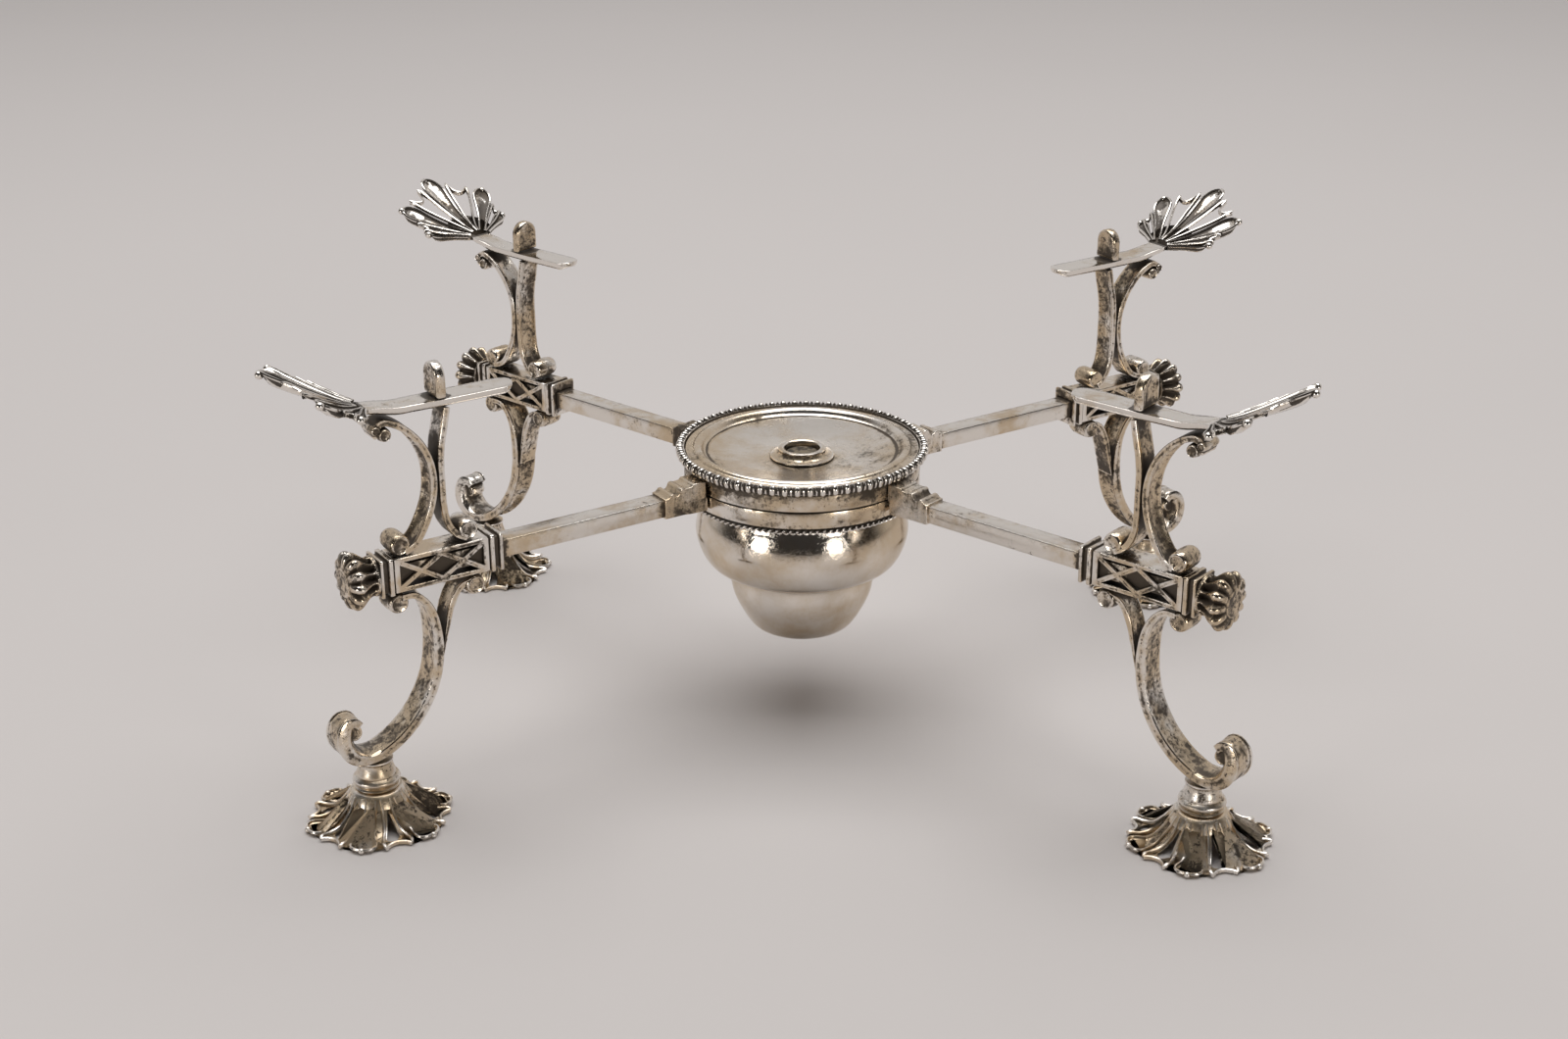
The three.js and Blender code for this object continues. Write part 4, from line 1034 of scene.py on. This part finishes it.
def rope_shape(bm):
    """Two strands twisted round each other."""
    turns = bpy.context.scene.dish_cross_lamp.rope_turns
    count = turns * 18
    angles = [math.pi * k / 6 for k in range(12)]

    def ring_at(share):
        twist = 2 * math.pi * turns * share * (count - 1) / count
        sizes = [STRAND_R * max(0.32, abs(math.cos(angle + twist))) for angle in angles]
        return [(size * math.cos(angle), size * math.sin(angle)) for size, angle in zip(sizes, angles)]

    sweep(bm, circle(ROPE_R, ROPE_Z, count), flat_side, ring_at, closed=True)


def lamp_shape(bm):
    """The bowl: a cup under a broad belly, a straight neck and a flange, with its wall."""
    cup = outline_curve([
        (0, 19.9), (5, 20.1), (9.5, 20.7), (12.5, 21.8), (14.3, 23), (15.8, 25), (17.2, 27.4), (18.5, 30),
        (19.5, 32.6), (20.05, 35.5), (20.2, 38.9),
    ], 36)
    belly = outline_curve([
        (21.3, 39.95), (23.3, 40.7), (25.1, 41.6), (26.6, 42.8), (27.7, 44.4), (28.6, 46.3), (29.3, 48.5),
        (29.75, 51.2), (29.5, 53.6), (28.9, 56.3), (28.0, 58.8),
    ], 36)
    outside = [*cup, (20.35, 39.3), (20.75, 39.6), *belly]
    neck = [
        (27.45, 60.0), (27.4, 60.6), (27.4, FLANGE_Z), (31.9, FLANGE_Z), (32, FLANGE_Z + 0.15),
        (32, FLANGE_Z + 0.6), (31.9, FLANGE_Z + 0.7), (26.7, FLANGE_Z + 0.7),
    ]
    inside = [
        (26.6, 60.2), (28.1, 55.9), (28.9, 51.2), (28.5, 48.6), (26.9, 44.8), (24.7, 42.3), (20.4, 40.6),
        (19.4, 39), (18.7, 32.8), (16.5, 27.8), (13.8, 23.8), (9.3, 21.5), (5, 20.9), (0, 20.7),
    ]
    spun(bm, outside + neck + inside, 144)


def cover_shape(bm):
    """The pan: a flat middle that rises to a raised ring just inside its edge."""
    top = COVER_Z + 0.8
    dish = outline_curve([(6.6, 0), (10, 0.02), (14.5, 0.22), (19.5, 0.9), (24, 1.75), (26.4, 2.3)], 24)
    lip = outline_curve([
        (26.6, 2.38), (27.2, 2.75), (27.7, 3.45), (28.3, 3.95), (29.0, 4.05), (29.7, 3.8), (30.2, 3.3),
        (31.0, 3.1), (32.1, 3.18),
    ], 28)
    profile = [(radius, DISC_Z + height) for radius, height in dish + lip]
    profile += [
        (32.2, top - 0.15), (32.2, COVER_Z), (26.3, COVER_Z), (26.3, 69.2), (25.5, 69.2), (25.5, 73.1),
        (20, 72.1), (14, 71.3), (6.6, 71), (6.6, DISC_Z),
    ]
    spun(bm, profile, 128)


def border_shape(bm):
    """A border of rounded beads, each pair parted by one thin reel between two gaps."""
    beads = bpy.context.scene.dish_cross_lamp.border_beads
    swell = [0.74, 0.9, 0.98, 1.0, 1.0, 0.98, 0.9, 0.74, 0.45, 0.4, 0.5, 0.82, 0.88, 0.82, 0.5, 0.4, 0.45]
    count = beads * len(swell)

    def ring_at(share):
        size = BEAD_R * swell[round(share * (count - 1)) % len(swell)]
        return round_ring(size, 1.26 * size, 10)

    sweep(bm, circle(BORDER_R, BORDER_Z, count), flat_side, ring_at, closed=True)
    seat = [
        (32.5, 73.6), (33.3, 73.5), (33.55, 74.0), (33.55, 75.0), (33.2, 75.45), (32.6, 75.5),
        (32.5, 75.3), (32.5, 73.6),
    ]
    spun(bm, seat, 128)


def wick_tube_shape(bm):
    base = DISC_Z + GAP
    foot = [
        (8.6, 0), (8.8, 0.15), (8.7, 0.4), (8.1, 0.55), (7.5, 0.65), (7.0, 0.85), (6.65, 1.2),
        (6.45, 1.6), (6.35, 1.9), (6.5, 2.05), (6.6, 2.3), (6.5, 2.55), (6.2, 2.68), (5.7, 2.7),
        (5.25, 2.6), (5.0, 2.3),
    ]
    profile = [(5.0, 65.2), (6.3, 65.2), (6.3, base), *((r, base + up) for r, up in foot), (5.0, 65.2)]
    spun(bm, profile, 96)


def wick_shape(bm):
    """The cotton wick, with a frayed top."""
    side = [(0, 32.6), (4.4, 32.6), (4.6, 33), (4.6, 72.8)]
    top = [(4.3, 73.2), (3.4, 73.1), (2.2, 73.5), (1.0, 73.3), (0, 73.6)]
    spun(bm, side + top, 48)


# Operators

class BarsOperator(bpy.types.Operator):
    """Makes the four bars"""
    bl_idname = "dish_cross.bars"
    bl_label = "Bars"

    def execute(self, context):
        dress_corner("bar", bar_shape, "bar_silver")
        return {"FINISHED"}


class BlocksOperator(bpy.types.Operator):
    """Makes the four root blocks"""
    bl_idname = "dish_cross.root_blocks"
    bl_label = "Root Blocks"

    def execute(self, context):
        lower = tuple(c for c in CORNERS if c not in UPPER_CORNERS)
        for corners, upper in ((UPPER_CORNERS, True), (lower, False)):
            dress_corner("root_block", lambda bm: block_shape(bm, upper), "block_silver", corners, 20)
        return {"FINISHED"}


class RosettesOperator(bpy.types.Operator):
    """Makes the four fluted rosettes"""
    bl_idname = "dish_cross.rosettes"
    bl_label = "Rosettes"

    def execute(self, context):
        dress_corner("rosette", rosette_shape, "cast_silver")
        return {"FINISHED"}


class SleevesOperator(bpy.types.Operator):
    """Makes the four pierced sleeves"""
    bl_idname = "dish_cross.sleeves"
    bl_label = "Sleeves"

    def execute(self, context):
        dress_corner("sleeve", sleeve_shape, "cast_silver")
        return {"FINISHED"}


class UpperScrollsOperator(bpy.types.Operator):
    """Makes the scrolls between the sleeves and the dish rests"""
    bl_idname = "dish_cross.upper_scrolls"
    bl_label = "Upper Scrolls"

    def execute(self, context):
        dress_corner("upper_outer_scroll", outer_scroll_shape, "cast_silver")
        dress_corner("upper_inner_scroll", inner_scroll_shape, "cast_silver")
        return {"FINISHED"}


class RestsOperator(bpy.types.Operator):
    """Makes the dish rests with their palmettes"""
    bl_idname = "dish_cross.dish_rests"
    bl_label = "Dish Rests"

    def execute(self, context):
        dress_corner("dish_rest", rest_shape, "rest_silver")
        return {"FINISHED"}


class StopsOperator(bpy.types.Operator):
    """Makes the dish stops"""
    bl_idname = "dish_cross.dish_stops"
    bl_label = "Dish Stops"

    def execute(self, context):
        dress_corner("dish_stop", stop_shape, "cast_silver")
        return {"FINISHED"}


class LegsOperator(bpy.types.Operator):
    """Makes the legs and the scrolls under the sleeves"""
    bl_idname = "dish_cross.legs"
    bl_label = "Legs"

    def execute(self, context):
        dress_corner("leg", leg_shape, "cast_silver")
        dress_corner("under_scroll", under_scroll_shape, "cast_silver")
        return {"FINISHED"}


class FeetOperator(bpy.types.Operator):
    """Makes the knops and the petalled foot shells"""
    bl_idname = "dish_cross.feet"
    bl_label = "Feet"

    def execute(self, context):
        dress_corner("foot_knop", knop_shape, "foot_silver")
        dress_corner("foot_shell", shell_shape, "foot_silver")
        return {"FINISHED"}


class RingsOperator(bpy.types.Operator):
    """Makes the rings, the sleeve inside them and the rope wire"""
    bl_idname = "dish_cross.rings"
    bl_label = "Rings"

    def execute(self, context):
        dress_centre("upper_ring", upper_ring_shape, "ring_silver")
        dress_centre("lower_ring", lower_ring_shape, "ring_silver")
        dress_centre("ring_sleeve", ring_sleeve_shape, "ring_silver")
        dress_centre("rope_wire", rope_shape, "border_silver")
        return {"FINISHED"}


class LampOperator(bpy.types.Operator):
    """Makes the lamp's bowl"""
    bl_idname = "dish_cross.lamp"
    bl_label = "Lamp Body"

    def execute(self, context):
        dress_centre("lamp_body", lamp_shape, "bowl_silver")
        return {"FINISHED"}


class CoverOperator(bpy.types.Operator):
    """Makes the cover pan and its bead border"""
    bl_idname = "dish_cross.cover"
    bl_label = "Cover"

    def execute(self, context):
        dress_centre("cover_pan", cover_shape, "cover_silver")
        dress_centre("bead_border", border_shape, "border_silver")
        return {"FINISHED"}


class WickOperator(bpy.types.Operator):
    """Makes the wick tube and the wick"""
    bl_idname = "dish_cross.wick"
    bl_label = "Wick Tube and Wick"

    def execute(self, context):
        dress_centre("wick_tube", wick_tube_shape, "wick_tube_silver")
        dress_centre("wick", wick_shape, "wick_cotton")
        return {"FINISHED"}


def soft_box(name, place, aim, width, height, power, colour=(1, 1, 1)):
    """A soft area light at place, turned to aim."""
    light = bpy.data.lights.new(name, "AREA")
    light.shape = "RECTANGLE"
    light.size, light.size_y = width, height
    light.energy = power
    light.color = colour
    lamp = bpy.data.objects.new(name, light)
    lamp.location = place
    lamp.rotation_euler = (Vector(aim) - Vector(place)).to_track_quat("-Z", "Y").to_euler()
    bpy.context.scene.collection.objects.link(lamp)


def camera_at_photo():
    """The camera where the photograph was taken from."""
    scene = bpy.context.scene
    yaw, pitch, tilt = math.radians(-3.65), math.radians(22.809), math.radians(-0.188)
    ahead = Vector((math.sin(yaw) * math.cos(pitch), math.cos(yaw) * math.cos(pitch), -math.sin(pitch)))
    right = ahead.cross(Z).normalized()
    up = right.cross(ahead)
    side = math.cos(tilt) * right + math.sin(tilt) * up
    top = math.cos(tilt) * up - math.sin(tilt) * right
    data = bpy.data.cameras.new("camera")
    data.sensor_width = 36
    data.lens = 51.486
    data.shift_y = 0.0059
    data.clip_start = 0.01
    camera = bpy.data.objects.new("camera", data)
    turn = Matrix((side, top, -ahead)).transposed().to_4x4()
    camera.matrix_world = Matrix.Translation((0.03185, -0.5786, 0.2938)) @ turn
    scene.collection.objects.link(camera)
    scene.camera = camera


class StageOperator(bpy.types.Operator):
    """Makes the floor, the lights and the camera"""
    bl_idname = "dish_cross.stage"
    bl_label = "Stage"

    def execute(self, context):
        look = context.scene.dish_cross_stage
        mesh = bpy.data.meshes.new("floor")
        bm = bmesh.new()
        bmesh.ops.create_grid(bm, x_segments=4, y_segments=4, size=4)
        bm.to_mesh(mesh)
        bm.free()
        paper = Finish("floor_paper")
        place = paper.node("TexCoord", output="Object")
        fibre = paper.noise(place, 300.0, 3, 0.6)
        shade = paper.noise(place, 3.0, 2, 0.5)
        base = tuple(look.floor)
        colour = paper.blend((*base, 1), tuple(0.96 * c for c in base) + (1,), shade)
        bump = paper.node("Bump", {}, {"Height": fibre, "Strength": 0.05, "Distance": 0.0002})
        mesh.materials.append(paper.close({"Base Color": colour, "Roughness": 0.85, "Normal": bump}))
        floor = bpy.data.objects.new("floor", mesh)
        context.scene.collection.objects.link(floor)
        soft_box("overhead_light", (0.0, 0.25, 1.9), (0, 0.05, 0), 2.2, 1.7, look.light)
        lamp, warm = (0, 0, 0.06), (1, 0.96, 0.9)
        soft_box("left_window", (-0.85, -0.95, 0.22), lamp, 0.34, 0.36, 0.065 * look.light, warm)
        soft_box("right_window", (0.78, -0.98, 0.22), lamp, 0.3, 0.36, 0.06 * look.light, warm)
        world = bpy.data.worlds.new("studio")
        world.use_nodes = True
        tree = world.node_tree
        sky = tree.nodes["Background"]
        way = tree.nodes.new("ShaderNodeTexCoord")
        parts = tree.nodes.new("ShaderNodeSeparateXYZ")
        tree.links.new(way.outputs["Generated"], parts.inputs[0])
        back = Value(tree, parts.outputs["Y"]).rise(-0.15, 0.45)
        high = Value(tree, parts.outputs["Z"]).rise(0.45, 0.9)
        shade = tree.nodes.new("ShaderNodeMix")
        shade.data_type = "RGBA"
        connect(tree, back * (1 - high * 0.5), shade.inputs[0])
        connect(tree, (0.035, 0.032, 0.03, 1), shade.inputs[6])
        connect(tree, (0.58, 0.56, 0.55, 1), shade.inputs[7])
        tree.links.new(shade.outputs[2], sky.inputs["Color"])
        sky.inputs["Strength"].default_value = 1
        context.scene.world = world
        context.scene.view_settings.view_transform = "Standard"
        camera_at_photo()
        return {"FINISHED"}


OPERATORS = (
    StageOperator, BarsOperator, BlocksOperator, RosettesOperator, SleevesOperator, UpperScrollsOperator,
    RestsOperator, StopsOperator, LegsOperator, FeetOperator, RingsOperator, LampOperator, CoverOperator,
    WickOperator,
)


class DishCrossPanel(bpy.types.Panel):
    """Lists the pieces of the dish cross"""
    bl_idname = "DISH_CROSS_PT_pieces"
    bl_label = "Dish Cross"
    bl_space_type = "VIEW_3D"
    bl_region_type = "UI"
    bl_category = "Dish Cross"

    def draw(self, context):
        for operator in OPERATORS:
            self.layout.operator(operator.bl_idname)
        for group in GROUPS:
            settings = getattr(context.scene, group)
            for name in settings.__annotations__:
                self.layout.prop(settings, name)


GROUPS = {
    "dish_cross_castings": CastingSizes,
    "dish_cross_cross": CrossSizes,
    "dish_cross_lamp": LampSizes,
    "dish_cross_silver": SilverLook,
    "dish_cross_stage": StageLook,
}


def register():
    for cls in (*GROUPS.values(), *OPERATORS, DishCrossPanel):
        bpy.utils.register_class(cls)
    for name, group in GROUPS.items():
        setattr(bpy.types.Scene, name, bpy.props.PointerProperty(type=group))


def unregister():
    for name in GROUPS:
        delattr(bpy.types.Scene, name)
    for cls in (DishCrossPanel, *reversed(OPERATORS), *reversed(tuple(GROUPS.values()))):
        bpy.utils.unregister_class(cls)


def main():
    register()
    for operator in OPERATORS:
        group, name = operator.bl_idname.split(".")
        getattr(getattr(bpy.ops, group), name)()
    bpy.context.view_layer.update()


if __name__ == "__main__":
    main()
